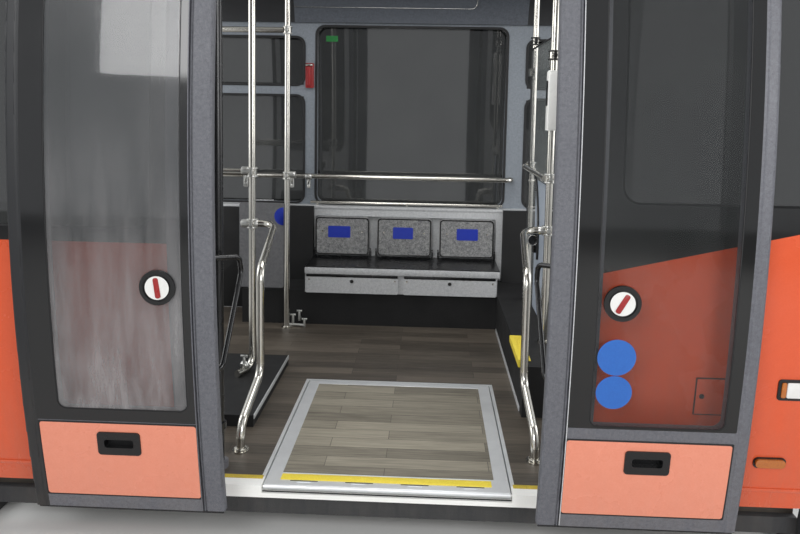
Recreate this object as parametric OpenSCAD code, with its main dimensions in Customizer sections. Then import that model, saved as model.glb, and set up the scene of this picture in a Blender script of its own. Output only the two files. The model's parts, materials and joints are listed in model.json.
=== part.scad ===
// Entrance bay of a low-floor passenger bus.
// X runs along the bus (+X is the front end), Y runs across it from the doorway inwards, Z is up.
// The base of the underframe is at Z = 0. The outer edge of the doorway sill is at Y = 0.

/* [Bay] */
// Length of the bay between the outer faces of its two joint rings
bay_l = 3000; // [2800:10:3600]
// Width over the bulging side walls
bus_w = 2500; // [2440:10:2550]
// Height of the walking surface above the base of the underframe
floor_z = 200; // [180:5:260]
// Rise of the ceiling above the doorway's top edge
ceiling_h = 175; // [150:5:240]
// Rise of the roof's crown above the ceiling
roof_h = 290; // [260:5:340]
// Length along the bus of each joint ring
ring_l = 40; // [30:5:80]
// Width of the joint ring's tube, measured inwards from the skin
ring_t = 60; // [50:5:90]
// Height of the underframe's rails and of the beams on them
beam_h = 40; // [30:1:50]

/* [Side walls] */
// Radius of the side walls' curve, seen from the end
side_r = 5700; // [5000:50:9000]
// Height above the walking surface at which the walls bulge most
bulge_z = 1100; // [1000:10:1250]
// How far the widest line of the near wall stands outside the sill's edge
bulge_out = 150; // [140:1:160]
// Thickness of a whole side wall
wall_t = 60; // [45:1:60]
// Height of the orange panels' lower edge above the walking surface
skirt_up = 18; // [10:1:40]
// Height of the crease along the foot of the orange panels
crease_z = 70; // [60:1:90]
// Depth of the step below that crease
crease_d = 3; // [2:0.5:6]
// Height of the orange panels' top edge behind the doorway and at the rear
near_belt = 895; // [850:5:1000]
// How far the front panel's top edge starts below that, beside the doorway
belt_dip = 59; // [40:1:80]
// How far the front panel's top edge rises from there to the front end
belt_rise = 176; // [120:1:200]
// Height of the orange panels' top edge on the far side
far_belt = 700; // [680:5:760]
// Height of the windows' and doorway's top edge
head_z = 2075; // [2040:5:2110]
// Thickness of the window panes
pane_t = 6; // [4:1:8]
// Width of the dark band round each pane
pane_border = 46; // [30:1:60]
// Corner radius of the side windows
window_r = 60; // [30:5:90]

/* [Doorway] */
// Width of each door leaf
leaf_w = 655; // [600:5:700]
// Thickness of a door leaf
leaf_t = 40; // [30:1:42]
// How far the leaves and the portal reach below the walking surface
skirt_drop = 30; // [10:1:60]
// Clearance between a closed leaf and the sill that it closes over
sill_gap = 6; // [5:1:10]
// Gap between the two closed leaves
leaf_gap = 6; // [6:1:12]
// Clearance between a closed leaf and the portal around it
portal_gap = 6; // [5:1:10]
// Width of each portal post
post_w = 40; // [30:1:60]
// How far the open leaf stands outside its closed place
door_out = 84; // [80:1:90]
// Travel of each leaf along the bus when it opens
open_x = 522.5; // [500:0.5:550]
// Distance of the turning column from the sill's edge
column_y = 120; // [110:1:140]
// Radius of the turning column
column_r = 19; // [15:1:22]
// Distance from the sill's edge to the leaf's pivots when the doors are open
pivot_open_y = -93; // [-95:1:-90]
// Height of the lower arm above the walking surface
arm_low_z = 150; // [130:1:170]
// Drop of the upper arm below the doorway's top edge
arm_high_z = 45; // [35:1:70]
// Radius of the bent door arms
arm_r = 11; // [9:0.5:12]
// Height of the hubs at both ends of an arm
arm_t = 24; // [20:1:28]
// Radius of the pivot pins
pivot_r = 7; // [5:0.5:8]
// Width of the rubber strip on each leaf's closing edge
leaf_edge_w = 74; // [60:1:90]
// Width of the rounded tube on each leaf's outer edge
leaf_tube_w = 46; // [40:1:52]
// Height of the lower panel's bottom edge above the walking surface
leaf_panel_low = 21; // [15:1:40]
// Height of the lower panel's top edge above the walking surface
leaf_panel_top = 297; // [270:1:310]
// Height of the pane's bottom edge above the walking surface
leaf_pane_low = 346; // [330:1:380]
// Height above the walking surface at which the inner handle's upper foot is fixed
handle_z = 815; // [780:1:850]
// How far the inner handle reaches inwards from the closed leaf's widest line
handle_reach = 226; // [200:1:240]
// Radius of the inner handle
handle_r = 9; // [8:0.5:11]

/* [Ramp] */
// Width of the fold-out ramp plate
ramp_w = 880; // [800:5:920]
// Distance from the hinge to the ramp plate's inner edge
ramp_d = 936; // [850:1:960]
// Thickness of the ramp plate
ramp_t = 20; // [19:0.5:22]
// Offset of the ramp's middle from the middle of the doorway
ramp_x = 15; // [0:1:30]
// Width of the fixed frame around the ramp
ramp_frame = 14; // [10:1:24]
// Gap between the ramp plate and its frame
ramp_gap = 5; // [5:1:8]
// Width of the bare metal edges beside the covering on the ramp plate
ramp_band = 50; // [40:1:70]
// Depth of the sill, from its outer edge inwards
sill_d = 60; // [50:1:80]
// Height of the sill's front face
sill_h = 44; // [36:1:54]

/* [Far side] */
// Depth of the bench box, from its front to the lining behind it
bench_y = 353; // [330:1:380]
// Height of the bench box's top
bench_h = 366; // [340:1:375]
// Distance from the far wall's widest line to the inner face of the window surround
lining_y = 114; // [105:1:130]
// Depth of the ledge that the lining makes below the far windows
ledge_d = 90; // [70:1:110]
// Left end of the main window
window_x0 = -615; // [-640:1:-580]
// Right end of the main window
window_x1 = 635; // [600:1:660]
// Drop of the main window's top edge below the doorway's
window_top = 195; // [180:5:240]
// Width of the pillar behind the main window
pillar_rear = 88; // [70:1:110]
// Width of the pillar in front of the main window
pillar_front = 135; // [110:1:150]
// Distance between the middles of the tip-up seats
seat_pitch = 407; // [400:1:420]
// Width of a tip-up seat
seat_w = 352; // [340:1:364]
// Depth of a tip-up seat, which is its height when it is folded up
seat_d = 248; // [230:1:260]
// Thickness of a tip-up seat
seat_t = 44; // [36:1:50]
// Place of the middle seat along the bus
seat_x = -12; // [-30:1:10]
// Height of the seats' hinge above the bench box
seat_lift = 49; // [45:1:60]

/* [Rails] */
// Radius of the stanchions and rails
rail_r = 17; // [14:0.5:20]
// Radius of the thin rail under the window
thin_r = 10; // [8:0.5:14]
// Height of the handrail in front of the far window
handrail_z = 897; // [850:1:950]
// Height at which cross rails meet the stanchions by the doorway
cross_z = 1030; // [950:1:1100]
// Height of the upper rail at the rear
upper_rail_z = 1800; // [1700:5:1850]
// Height at which the grab rails meet the stanchions
grab_z = 780; // [740:1:820]
// Height of the platform at the front end
platform_h = 230; // [200:5:260]
// Left edge of the front platform
platform_x = 572; // [550:1:600]
// Near edge of the front platform
platform_y = 620; // [600:1:700]
// Height of the low plinth at the rear end
plinth_h = 50; // [40:1:80]
// Right edge of the rear plinth
plinth_x = -575; // [-640:1:-570]
// Near edge of the rear plinth
plinth_y = 440; // [420:1:500]
// Far edge of the rear plinth
plinth_far = 1150; // [1100:5:1300]

/* [Hidden] */
$fn = 48;
arc_fn = 720;
eps = 1;
seat_gap = 0.3;
half_l = bay_l / 2;
wall_x = half_l - ring_l;
near_y = -bulge_out;
far_y = near_y + bus_w;
mid_y = (near_y + far_y) / 2;
belt_z = floor_z + near_belt;
far_belt_z = floor_z + far_belt;
top_z = floor_z + head_z;
low_z = floor_z - skirt_drop;
ceiling_z = top_z + ceiling_h;
roof_z = ceiling_z + roof_h;
window_top_z = top_z - window_top;
corner_r = 230;
crown_r = 9000;
side_c = [near_y + side_r, floor_z + bulge_z];
crown_c = [mid_y, roof_z - crown_r];
corner_c = inner_tangent(side_c, side_r - corner_r, crown_c, crown_r - corner_r);
shoulder_z = (side_c + unit(corner_c - side_c) * side_r)[1];
roof_t = 30;
ceiling_t = 12;
ceiling_inset = 250;
light_w = 120;
light_t = 14;
light_off = 480;
header_up = 20;
header_d = 520;
header_over = 296;
tie_h = 40;
tie_bolt_y = 900;
tie_bolt_r = 7;

closed_x = (leaf_w + leaf_gap) / 2;
closed_y = pivot_open_y + door_out;
opened_x = closed_x + open_x;
portal_x = closed_x + leaf_w / 2 + portal_gap;
post_x = portal_x + post_w;
column_x = (opened_x * opened_x - closed_x * closed_x + pivot_open_y * pivot_open_y - closed_y * closed_y
    - 2 * column_y * (pivot_open_y - closed_y)) / (2 * (opened_x - closed_x));
leaf_top = top_z - portal_gap;
leaf_inner = -leaf_w / 2;
leaf_outer = leaf_w / 2;
leaf_tube_r = 13;
leaf_seal_r = 9;
leaf_skin = 2;
leaf_panel_z = [floor_z + leaf_panel_low, floor_z + leaf_panel_top];
leaf_panel_x = [leaf_inner + leaf_edge_w + 2, leaf_outer - leaf_tube_w - 6];
leaf_pane_z = [floor_z + leaf_pane_low, top_z - 110];
// Columns: pane's distance from the closing edge, pane's distance from the outer edge,
// knob's place along the leaf from its middle, and knob's height above the walking surface.
PANE_IN = 0;
PANE_OUT = 1;
KNOB_X = 2;
KNOB_Z = 3;
leaf_rows = [[99, 122, -149, 771], [142, 85, -108, 762]];
knob_r = 57;
knob_dial_r = 40;
knob_t = 9;
knob_step = 4;
pull_c = [11, floor_z + 223];
pull_size = [144, 84];
pull_slot = [98, 30];
pull_out = 3;
pull_d = 24;
hub_r = 13;
hub_wall = 8;
pin_drop = 24;
bearing_h = 24;
bearing_r = 34;
bracket_w = 30;
bracket_h = 18;

frame_h = floor_z - 80;
deck_z = floor_z - 60;
edge_y0 = 32;
edge_y1 = sill_d;
edge_t = 28;
rail_y = 350;
rail_w = 60;
rail_web = 8;
inner_far = 2 * mid_y - edge_y0;
hinge_y = 14;
hinge_r = 9;
hinge_z = floor_z - hinge_r;
hinge_pin_r = 3;
ramp_y1 = hinge_y + ramp_d;
ramp_x0 = ramp_x - ramp_w / 2;
ramp_x1 = ramp_x + ramp_w / 2;
ramp_pocket = [ramp_x0 - ramp_gap, ramp_x1 + ramp_gap];
ramp_mat_y0 = 92;
ramp_mat_end = 34;
ramp_mat_t = 3;
pocket_h = 36;
pocket_t = 6;
sill_cut = 27;
finger_slots = [-300 : 200 : 300];
finger_slot = [52, 9, 4];

inner_y = far_y - lining_y;
lower_y = inner_y - ledge_d;
surround_y = inner_y - 8;
bench_front = lower_y - bench_y;
seat_side = 3;
lug_w = 10;
lug_in = 2;
bench_x = seat_x - seat_pitch - seat_w / 2 - seat_side - lug_w - lug_in;
bench_end = platform_x;
ledge_end = seat_x + seat_pitch + seat_w / 2 + seat_side + lug_w + lug_in;
ledge_t = 36;
slot_h = 19;
cover_h = 99;
cover_t = 12;
cover_r = 10;
cover_split = -17.5;
cover_gap = 15;
kick_in = 40;
dark_l = 400;
dark_t = 46;
transom_z = [floor_z + 1423, floor_z + 1496];
rear_window_top = floor_z + 1807;
end_pane = 60;
far_windows = [[-wall_x + end_pane, window_x0 - pillar_rear], [window_x0, window_x1],
    [window_x1 + pillar_front, wall_x - end_pane]];
pane_clear = 0.3;
glass_in = 3;
niche_x = [bench_x - lug_in, ledge_end + 5 * lug_in];
niche_top = far_belt_z - 56;
niche_d = 20;
cove_r = 300;
cove_d = 330;
cove_rise = 25;
cove_lid_x = [-758, 429];
cove_lid_t = 5;
cove_lid_z = floor_z + 2000;
seat_tail = 28;
seat_corner_r = 22;
seat_rim = 9;
seat_rim_t = 4;
hinge_off = 30;
lug_r = 16;
seat_pin_r = 6;
tray_t = 6;
tray_in = 18;

// Columns: place along the bus, distance from the sill's edge, and height of the foot.
rear_posts = [[-portal_x - 48, 950, floor_z + plinth_h], [-portal_x - 47, bench_front - 43, floor_z]];
front_posts = [[portal_x + 52, 950, floor_z + platform_h], [portal_x + 75, bench_front - 93, floor_z + platform_h]];
rail_clear = 0.3;
collar_r = rail_r + 6;
collar_h = 40;
rear_foot = [-45, -115];
foot_t = 6;
foot_r = 32;
foot_bend = 50;
weld_l = 6;
weld_t = 0.6;
partition_t = 8;
partition_in = [40, 60];
partition_z = [300, 1700];
partition_clip = [12, 150, 40];
screen_z = [250, 768];
screen_x = -1000;
screen_t = 20;
validator_size = [70, 60, 270];
validator_z = 1260;
validator_r = 12;
handrail_off = 86;
thin_rail_y = lower_y + 44;
thin_feet = [-600 : 600 : 600];
lamp_x = [wall_x - 214, wall_x - 118];
lamp_z = [180, 210];
lamp_out = 12;
cover_x = [wall_x - 432, wall_x - 316];
flap_z = [367, 490];
flap_out = 3;

// Block between two corners.
module block(a, b) {
    translate(a) cube([b[0] - a[0], b[1] - a[1], b[2] - a[2]]);
}

// Profile in the YZ plane, carried along X from x0 to x1.
module along_x(x0, x1) {
    translate([x0, 0, 0]) rotate([90, 0, 90]) linear_extrude(x1 - x0) children();
}

// Profile in the XZ plane, carried along Y from y0 to y1.
module along_y(y0, y1) {
    translate([0, y1, 0]) rotate([90, 0, 0]) linear_extrude(y1 - y0) children();
}

// Rod along X from x0 to x1.
module rod_x(x0, x1, y, z, r) {
    translate([x0, y, z]) rotate([0, 90, 0]) cylinder(h = x1 - x0, r = r);
}

// Disc whose edge is the near wall's curve, moved inwards by off.
module side_disc(off) {
    translate(side_c) circle(r = side_r - off, $fn = arc_fn);
}

// Disc whose edge is the far wall's curve, moved inwards by off.
module far_disc(off) {
    translate([2 * mid_y, 0]) mirror([1, 0]) side_disc(off);
}

// Rectangle with round corners, from corner a to corner b.
module round_rect(a, b, r) {
    translate([a[0] + r, a[1]]) square([b[0] - a[0] - 2 * r, b[1] - a[1]]);
    translate([a[0], a[1] + r]) square([b[0] - a[0], b[1] - a[1] - 2 * r]);
    for (x = [a[0] + r, b[0] - r], z = [a[1] + r, b[1] - r])
        translate([x, z]) circle(r = r);
}

// Place of the near wall's curve at a height, and of the far wall's, both moved inwards by depth.
function near_face(z, depth) = near_y + side_r - sqrt(pow(side_r - depth, 2) - pow(z - floor_z - bulge_z, 2));
function far_face(z, depth) = 2 * mid_y - near_face(z, depth);

// Band that follows the near wall between two depths and two heights.
module wall_band(depth0, depth1, z0, z1) {
    intersection() {
        difference() {
            side_disc(depth0);
            side_disc(depth1);
        }
        translate([near_y - 50, z0]) square([400, z1 - z0]);
    }
}

module wall_slab(x0, x1, z0, z1, depth0 = 0, depth1 = wall_t) {
    along_x(x0, x1) wall_band(depth0, depth1, z0, z1);
}

// Bar that follows the near wall's curve upwards. Its profile's first axis is the depth below
// the skin and the second one runs along the bus.
module swept_bar(z0, z1) {
    from = -asin((z1 + leaf_t - side_c[1]) / side_r);
    to = asin((side_c[1] - z0 + leaf_t) / side_r);
    intersection() {
        translate([0, side_c[0], side_c[1]]) multmatrix([[0, 0, 1], [-1, 0, 0], [0, -1, 0]])
            rotate([0, 0, from]) rotate_extrude(angle = to - from, $fn = arc_fn)
                translate([side_r, 0]) mirror([1, 0]) children();
        block([-half_l, near_y - 50, z0], [half_l, near_y + 400, z1]);
    }
}

// Puts a piece on the near wall's curve, with its +Z along the outward normal.
module on_skin(x, z) {
    translate([x, side_c[0], side_c[1]]) rotate([90 - asin((z - side_c[1]) / side_r), 0, 0])
        translate([0, 0, side_r]) children();
}

// Turns a piece of the near side into the same piece of the far side.
module far_side() {
    translate([0, 2 * mid_y, 0]) mirror([0, 1, 0]) children();
}

// Draws a piece of the front half on the rear half for side -1.
module on_side(side) {
    if (side > 0) children();
    else mirror([1, 0, 0]) children();
}

// Point at distance ra from a and rb from b, on the upper near side of the line from a to b.
function inner_tangent(a, ra, b, rb) =
    let (d = norm(b - a), u = (b - a) / d, along = (ra * ra - rb * rb + d * d) / (2 * d))
    a + u * along + [u[1], -u[0]] * sqrt(ra * ra - along * along);

// Walls' and roof's curves without their round corners, moved inwards by off.
module sharp_outline(off) {
    intersection() {
        side_disc(off);
        far_disc(off);
        translate(crown_c) circle(r = crown_r - off, $fn = arc_fn);
    }
}

// Outline of the whole bay seen from its end, moved inwards by off and cut off below z0.
module bay_outline(off, z0) {
    side_t = side_c + unit(corner_c - side_c) * (side_r - off);
    crown_t = crown_c + unit(corner_c - crown_c) * (crown_r - off);
    intersection() {
        sharp_outline(off);
        translate([near_y - eps, z0]) square([bus_w + 2 * eps, side_t[1] - z0]);
    }
    intersection() {
        sharp_outline(off);
        translate([crown_t[0], z0]) square([2 * (mid_y - crown_t[0]), roof_z]);
    }
    for (y = [corner_c[0], 2 * mid_y - corner_c[0]])
        translate([y, corner_c[1]]) circle(r = corner_r - off, $fn = 96);
}

function unit(v) = v / norm(v);
function leg(p, i) = unit(p[i + 1] - p[i]);
function turn(p, i) = acos(leg(p, i - 1) * leg(p, i));
function trim(p, i, bend) = i <= 0 || i >= len(p) - 1 ? 0 : bend * tan(turn(p, i) / 2);

// Tube bent through a list of points, with round bends of one radius and a weld ring at each end of a bend.
module tube_run(points, r, bend = 70) {
    for (i = [0 : len(points) - 2]) {
        d = leg(points, i);
        a = points[i] + d * trim(points, i, bend);
        b = points[i + 1] - d * trim(points, i + 1, bend);
        translate(a) rotate([0, acos(d[2]), atan2(d[1], d[0])]) cylinder(h = norm(b - a), r = r);
    }
    for (i = [1 : 1 : len(points) - 2]) {
        d = leg(points, i - 1);
        inward = unit(leg(points, i) - d * (d * leg(points, i)));
        up = cross(-inward, d);
        centre = points[i] - d * trim(points, i, bend) + inward * bend;
        multmatrix([for (k = [0 : 2]) [-inward[k], d[k], up[k], centre[k]]]) {
            rotate_extrude(angle = turn(points, i)) translate([bend, 0]) circle(r = r);
            for (a = [0, turn(points, i)])
                rotate(a) translate([bend, -weld_l / 2, 0]) rotate([-90, 0, 0]) cylinder(h = weld_l, r = r + weld_t);
        }
    }
}

// Collar that clamps a rail to an upright at a height above the walking surface.
module collar(post, z) {
    translate([post[0], post[1], floor_z + z - collar_h / 2]) cylinder(h = collar_h, r = collar_r);
}

// Upright from its foot to the ceiling.
module upright(post) {
    translate(post) cylinder(h = ceiling_z - post[2], r = rail_r);
}

// Channel-shaped rail of the underframe, open towards the middle of the bus.
module channel_rail() {
    difference() {
        block([-wall_x, rail_y, 0], [wall_x, rail_y + rail_w, frame_h]);
        block([-wall_x - eps, rail_y + rail_web, rail_web], [wall_x + eps, rail_y + rail_w + eps, frame_h - rail_web]);
    }
}

module underframe() {
    color("DimGray") {
        channel_rail();
        far_side() channel_rail();
        for (i = [-2 : 2]) {
            x = i * (wall_x - 160) / 2;
            block([x - 20, edge_y1, frame_h], [x + 20, inner_far - edge_t, deck_z]);
        }
        block([-wall_x, edge_y0, frame_h - beam_h], [wall_x, edge_y1, deck_z]);
        block([-wall_x, inner_far - edge_t, frame_h - beam_h], [wall_x, inner_far, deck_z]);
    }
}

module floor_deck() {
    color("SaddleBrown") difference() {
        block([-wall_x, edge_y1, deck_z], [wall_x, inner_far, floor_z]);
        block([ramp_pocket[0] - ramp_frame, edge_y1 - eps, floor_z - pocket_h],
            [ramp_pocket[1] + ramp_frame, ramp_y1 + ramp_gap + ramp_frame, floor_z + eps]);
    }
}

module door_sill() {
    color("Silver") {
        difference() {
            union() {
                block([-portal_x, 0, floor_z - sill_h], [portal_x, sill_d, floor_z]);
                block([-portal_x, edge_y0, deck_z], [portal_x, edge_y1, floor_z - sill_h]);
            }
            block([ramp_pocket[0], -eps, floor_z - sill_cut], [ramp_pocket[1], sill_d + eps, floor_z + eps]);
        }
        rod_x(ramp_pocket[0], ramp_pocket[1], hinge_y, hinge_z, hinge_pin_r);
    }
}

module ramp_surround() {
    color("LightGray") difference() {
        block([ramp_pocket[0] - ramp_frame, edge_y1, floor_z - pocket_h],
            [ramp_pocket[1] + ramp_frame, ramp_y1 + ramp_gap + ramp_frame, floor_z]);
        block([ramp_pocket[0], edge_y1 - eps, floor_z - pocket_h + pocket_t],
            [ramp_pocket[1], ramp_y1 + ramp_gap, floor_z + eps]);
    }
}

// Space of the covering on the ramp plate, made larger all round by grow.
module ramp_mat_space(grow) {
    block([ramp_x0 + ramp_band - grow, ramp_mat_y0 - grow, floor_z - ramp_mat_t],
        [ramp_x1 - ramp_band + grow, ramp_y1 - ramp_mat_end + grow, floor_z + grow]);
}

module ramp_plate() {
    color("Gainsboro") difference() {
        union() {
            block([ramp_x0, hinge_y, floor_z - ramp_t], [ramp_x1, ramp_y1, floor_z]);
            rod_x(ramp_x0, ramp_x1, hinge_y, hinge_z, hinge_r);
        }
        ramp_mat_space(seat_gap);
        for (x = finger_slots)
            translate([ramp_x + x - finger_slot[0] / 2, 2 * hinge_y, floor_z - finger_slot[2]])
                cube([finger_slot[0], finger_slot[1], finger_slot[2] + eps]);
        rod_x(ramp_x0 - eps, ramp_x1 + eps, hinge_y, hinge_z, hinge_pin_r + seat_gap);
    }
}

module ramp_mat() {
    color("SaddleBrown") ramp_mat_space(0);
}

module joint_ring(side) {
    on_side(side) color("SlateGray") difference() {
        along_x(wall_x, half_l) difference() {
            bay_outline(0, 0);
            difference() {
                bay_outline(ring_t, ring_t);
                translate([near_y, ceiling_z + ceiling_t]) square([bus_w, tie_h]);
            }
        }
        for (y = [mid_y - tie_bolt_y, mid_y + tie_bolt_y], z = [ring_t / 2, ceiling_z + ceiling_t + tie_h / 2])
            rod_x(wall_x - eps, half_l + eps, y, z, tie_bolt_r);
    }
}

// Heights of an orange panel's top edge beside the doorway and at the bay's end.
function belt_ends(side) = side < 0 ? [belt_z, belt_z] : [belt_z - belt_dip, belt_z - belt_dip + belt_rise];

// Region below the top edge of an orange panel on the near side.
module below_belt(side) {
    ends = belt_ends(side);
    along_y(near_y - 20, near_y + 300)
        polygon([[post_x, low_z], [wall_x, low_z], [wall_x, ends[1]], [post_x, ends[0]]]);
}

module side_panel(side) {
    on_side(side) color("OrangeRed") intersection() {
        union() {
            wall_slab(post_x, wall_x, floor_z + crease_z, belt_z + belt_rise);
            wall_slab(post_x, wall_x, floor_z + skirt_up, floor_z + crease_z + eps, crease_d, wall_t);
        }
        below_belt(side);
    }
}

// Opening of a near side window, made smaller all round by off.
module near_opening(side, off) {
    along_y(near_y - 10, near_y + 350)
        round_rect([post_x + pane_border + off, max(belt_ends(side)) + pane_border + off],
            [wall_x - pane_border - off, top_z - pane_border - off], window_r);
}

module window_frame(side) {
    on_side(side) color("Black") difference() {
        wall_slab(post_x, wall_x, belt_z - belt_dip, top_z);
        below_belt(side);
        near_opening(side, 0);
    }
}

module near_glass() {
    for (side = [-1, 1])
        on_side(side) color("DarkSlateGray") intersection() {
            wall_slab(post_x, wall_x, belt_z, top_z, glass_in, glass_in + pane_t);
            near_opening(side, pane_clear);
        }
}

// Bearing in which a door column turns, with its lower face at height z.
module column_bearing(z) {
    difference() {
        translate([column_x, column_y, z]) cylinder(h = bearing_h, r = bearing_r);
        translate([column_x, column_y, z - eps]) cylinder(h = bearing_h + 2 * eps, r = column_r + seat_gap);
    }
}

module portal_posts() {
    for (side = [-1, 1])
        on_side(side) color("DimGray") {
            wall_slab(portal_x, post_x, low_z, top_z);
            column_bearing(floor_z);
            column_bearing(top_z + header_up - bearing_h);
        }
}

module cantrail_near() {
    color("OrangeRed") wall_slab(-wall_x, wall_x, top_z, shoulder_z);
}

module door_header() {
    color("DimGray") along_x(-post_x - header_over, post_x + header_over) intersection() {
        side_disc(wall_t + seat_gap);
        translate([near_y, top_z + header_up]) square([header_d, ceiling_z - top_z - header_up]);
    }
}

module far_panel() {
    far_side() color("OrangeRed") {
        wall_slab(-wall_x, wall_x, floor_z + crease_z, far_belt_z);
        wall_slab(-wall_x, wall_x, floor_z + skirt_up, floor_z + crease_z + eps, crease_d, wall_t);
    }
}

// Openings of the far windows, made smaller all round by off. The end ones have a bar across them.
module far_openings(off) {
    for (i = [0 : len(far_windows) - 1]) {
        w = far_windows[i];
        top = i == 1 ? window_top_z : rear_window_top;
        difference() {
            along_y(inner_y - 20, far_y + 20)
                round_rect([w[0] + off, far_belt_z + 10 + off], [w[1] - off, top - off], window_r);
            if (i != 1)
                block([w[0] - eps, inner_y - 30, transom_z[0] - off], [w[1] + eps, far_y + 30, transom_z[1] + off]);
        }
    }
}

module far_window_frame() {
    color("Black") difference() {
        far_side() wall_slab(-wall_x, wall_x, far_belt_z, top_z);
        far_openings(0);
    }
}

module far_glass() {
    color("DarkSlateGray") intersection() {
        far_side() wall_slab(-wall_x, wall_x, far_belt_z, top_z, glass_in, glass_in + pane_t);
        far_openings(pane_clear);
    }
}

module cantrail_far() {
    far_side() color("OrangeRed") wall_slab(-wall_x, wall_x, top_z, shoulder_z);
}

module window_surround() {
    color("SlateGray") difference() {
        along_x(-wall_x, wall_x) intersection() {
            translate([surround_y, far_belt_z]) square([300, window_top_z + cove_rise - far_belt_z]);
            far_disc(wall_t + seat_gap);
        }
        far_openings(0);
    }
}

module far_lining() {
    color("LightGray") difference() {
        along_x(-wall_x, wall_x) intersection() {
            translate([lower_y, floor_z]) square([300, far_belt]);
            far_disc(wall_t + seat_gap);
        }
        along_y(lower_y - eps, lower_y + niche_d)
            round_rect([niche_x[0], floor_z + bench_h + tray_t], [niche_x[1], niche_top], 20);
    }
}

// Bench box: ledge, front board set back behind it, and two covers on that board.
module bench_box() {
    top = floor_z + bench_h;
    cover_z1 = top - ledge_t - slot_h;
    cover_z0 = cover_z1 - cover_h;
    color("LightGray") {
        block([bench_x, bench_front, top - ledge_t], [ledge_end, lower_y, top]);
        block([bench_x, bench_front + cover_t, cover_z0], [bench_end, lower_y, top - ledge_t]);
        for (ends = [[bench_x + 5, cover_split - cover_gap], [cover_split + cover_gap, bench_end - 5]])
            along_y(bench_front, bench_front + cover_t + eps)
                round_rect([ends[0], cover_z0], [ends[1], cover_z1], cover_r);
    }
}

// Dark base under the bench box, with the dark wall panels beside the seats.
module bench_base() {
    base_top = floor_z + bench_h - ledge_t - slot_h - cover_h;
    color("Black") {
        block([bench_x - dark_l, bench_front + kick_in, floor_z], [bench_end, lower_y, base_top]);
        block([bench_x - dark_l, lower_y - dark_t, base_top - eps], [niche_x[0], lower_y, far_belt_z]);
        block([window_x1 - 5, lower_y - dark_t, floor_z + platform_h], [window_x1 + dark_l, lower_y, far_belt_z]);
    }
}

// Hollow profile of the dark panel between the far windows and the ceiling.
module cove_profile() {
    difference() {
        intersection() {
            translate([inner_y - cove_d, window_top_z + cove_rise])
                square([500, ceiling_z - window_top_z - cove_rise]);
            far_disc(wall_t + seat_gap);
        }
        cove_disc(0);
    }
}

// Disc whose edge is the cove's hollow face, made smaller by off.
module cove_disc(off) {
    translate([inner_y - cove_d, window_top_z - 10]) circle(r = cove_r - off, $fn = 96);
}

module cove_panel() {
    color("DimGray") {
        along_x(-wall_x, wall_x) cove_profile();
        along_x(cove_lid_x[0], cove_lid_x[1]) intersection() {
            difference() {
                cove_disc(-eps);
                cove_disc(cove_lid_t);
            }
            translate([inner_y - cove_d + 60, cove_lid_z]) square([cove_r, cove_r]);
        }
    }
}

module roof_skin() {
    color("OrangeRed") along_x(-wall_x, wall_x) difference() {
        bay_outline(0, 0);
        bay_outline(roof_t, 0);
        translate([near_y, -eps]) square([bus_w, shoulder_z + eps]);
    }
}

module ceiling_panel() {
    color("WhiteSmoke") block([-half_l, near_y + ceiling_inset, ceiling_z],
        [half_l, far_y - ceiling_inset, ceiling_z + ceiling_t]);
}

module ceiling_lights() {
    color("White") for (y = [mid_y - light_off, mid_y + light_off])
        translate([0, y, ceiling_z - light_t]) linear_extrude(light_t)
            round_rect([-wall_x + beam_h, -light_w / 2], [wall_x - beam_h, light_w / 2], 30);
}

module stanchions_rear() {
    p = rear_posts[0];
    lying_z = p[2] + rail_r + rail_clear;
    color("Silver") {
        tube_run([[p[0], p[1], ceiling_z], [p[0], p[1], lying_z],
            [p[0] + rear_foot[0], p[1] + rear_foot[1], lying_z]], rail_r, foot_bend);
        for (z = [grab_z, cross_z])
            collar(p, z);
        upright(rear_posts[1]);
        for (z = [handrail_z + 40, upper_rail_z])
            collar(rear_posts[1], z);
        translate(rear_posts[1]) cylinder(h = foot_t, r = foot_r);
    }
}

module stanchions_front() {
    p = front_posts[0];
    q = front_posts[1];
    clip = partition_clip;
    glass_x = [p[0] - partition_t / 2 - pane_clear, p[0] + partition_t / 2 + pane_clear];
    color("Silver") {
        for (post = front_posts) {
            upright(post);
            collar(post, cross_z);
            translate(post) cylinder(h = foot_t, r = foot_r);
        }
        for (z = [grab_z, validator_z + 350])
            collar(p, z);
        tube_run([[p[0] - rail_r - 5, p[1], floor_z + cross_z], [p[0] - rail_r - 5, q[1] - 40, floor_z + cross_z],
            [q[0], q[1], floor_z + cross_z]], rail_r - 3, 30);
        for (z = [floor_z + partition_z[0] + clip[1], floor_z + partition_z[1] - clip[1]])
            difference() {
                union() {
                    block([p[0] - clip[0], p[1], z], [p[0] + clip[0], p[1] + partition_in[0] + clip[0], z + clip[2]]);
                    block([p[0] - clip[0], q[1] - partition_in[1] - clip[0], z], [p[0] + clip[0], q[1], z + clip[2]]);
                }
                block([glass_x[0], p[1] + partition_in[0] - pane_clear, z - eps],
                    [glass_x[1], q[1] - partition_in[1] + pane_clear, z + clip[2] + eps]);
            }
    }
}

// Rails that run from the rear uprights to the rear end.
module ceiling_rails() {
    // Columns: upright and height above the walking surface.
    rows = [[rear_posts[0], cross_z], [rear_posts[1], upper_rail_z]];
    color("Silver") for (row = rows)
        rod_x(-wall_x, row[0][0] - collar_r - rail_clear, row[0][1], floor_z + row[1], rail_r);
}

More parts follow.
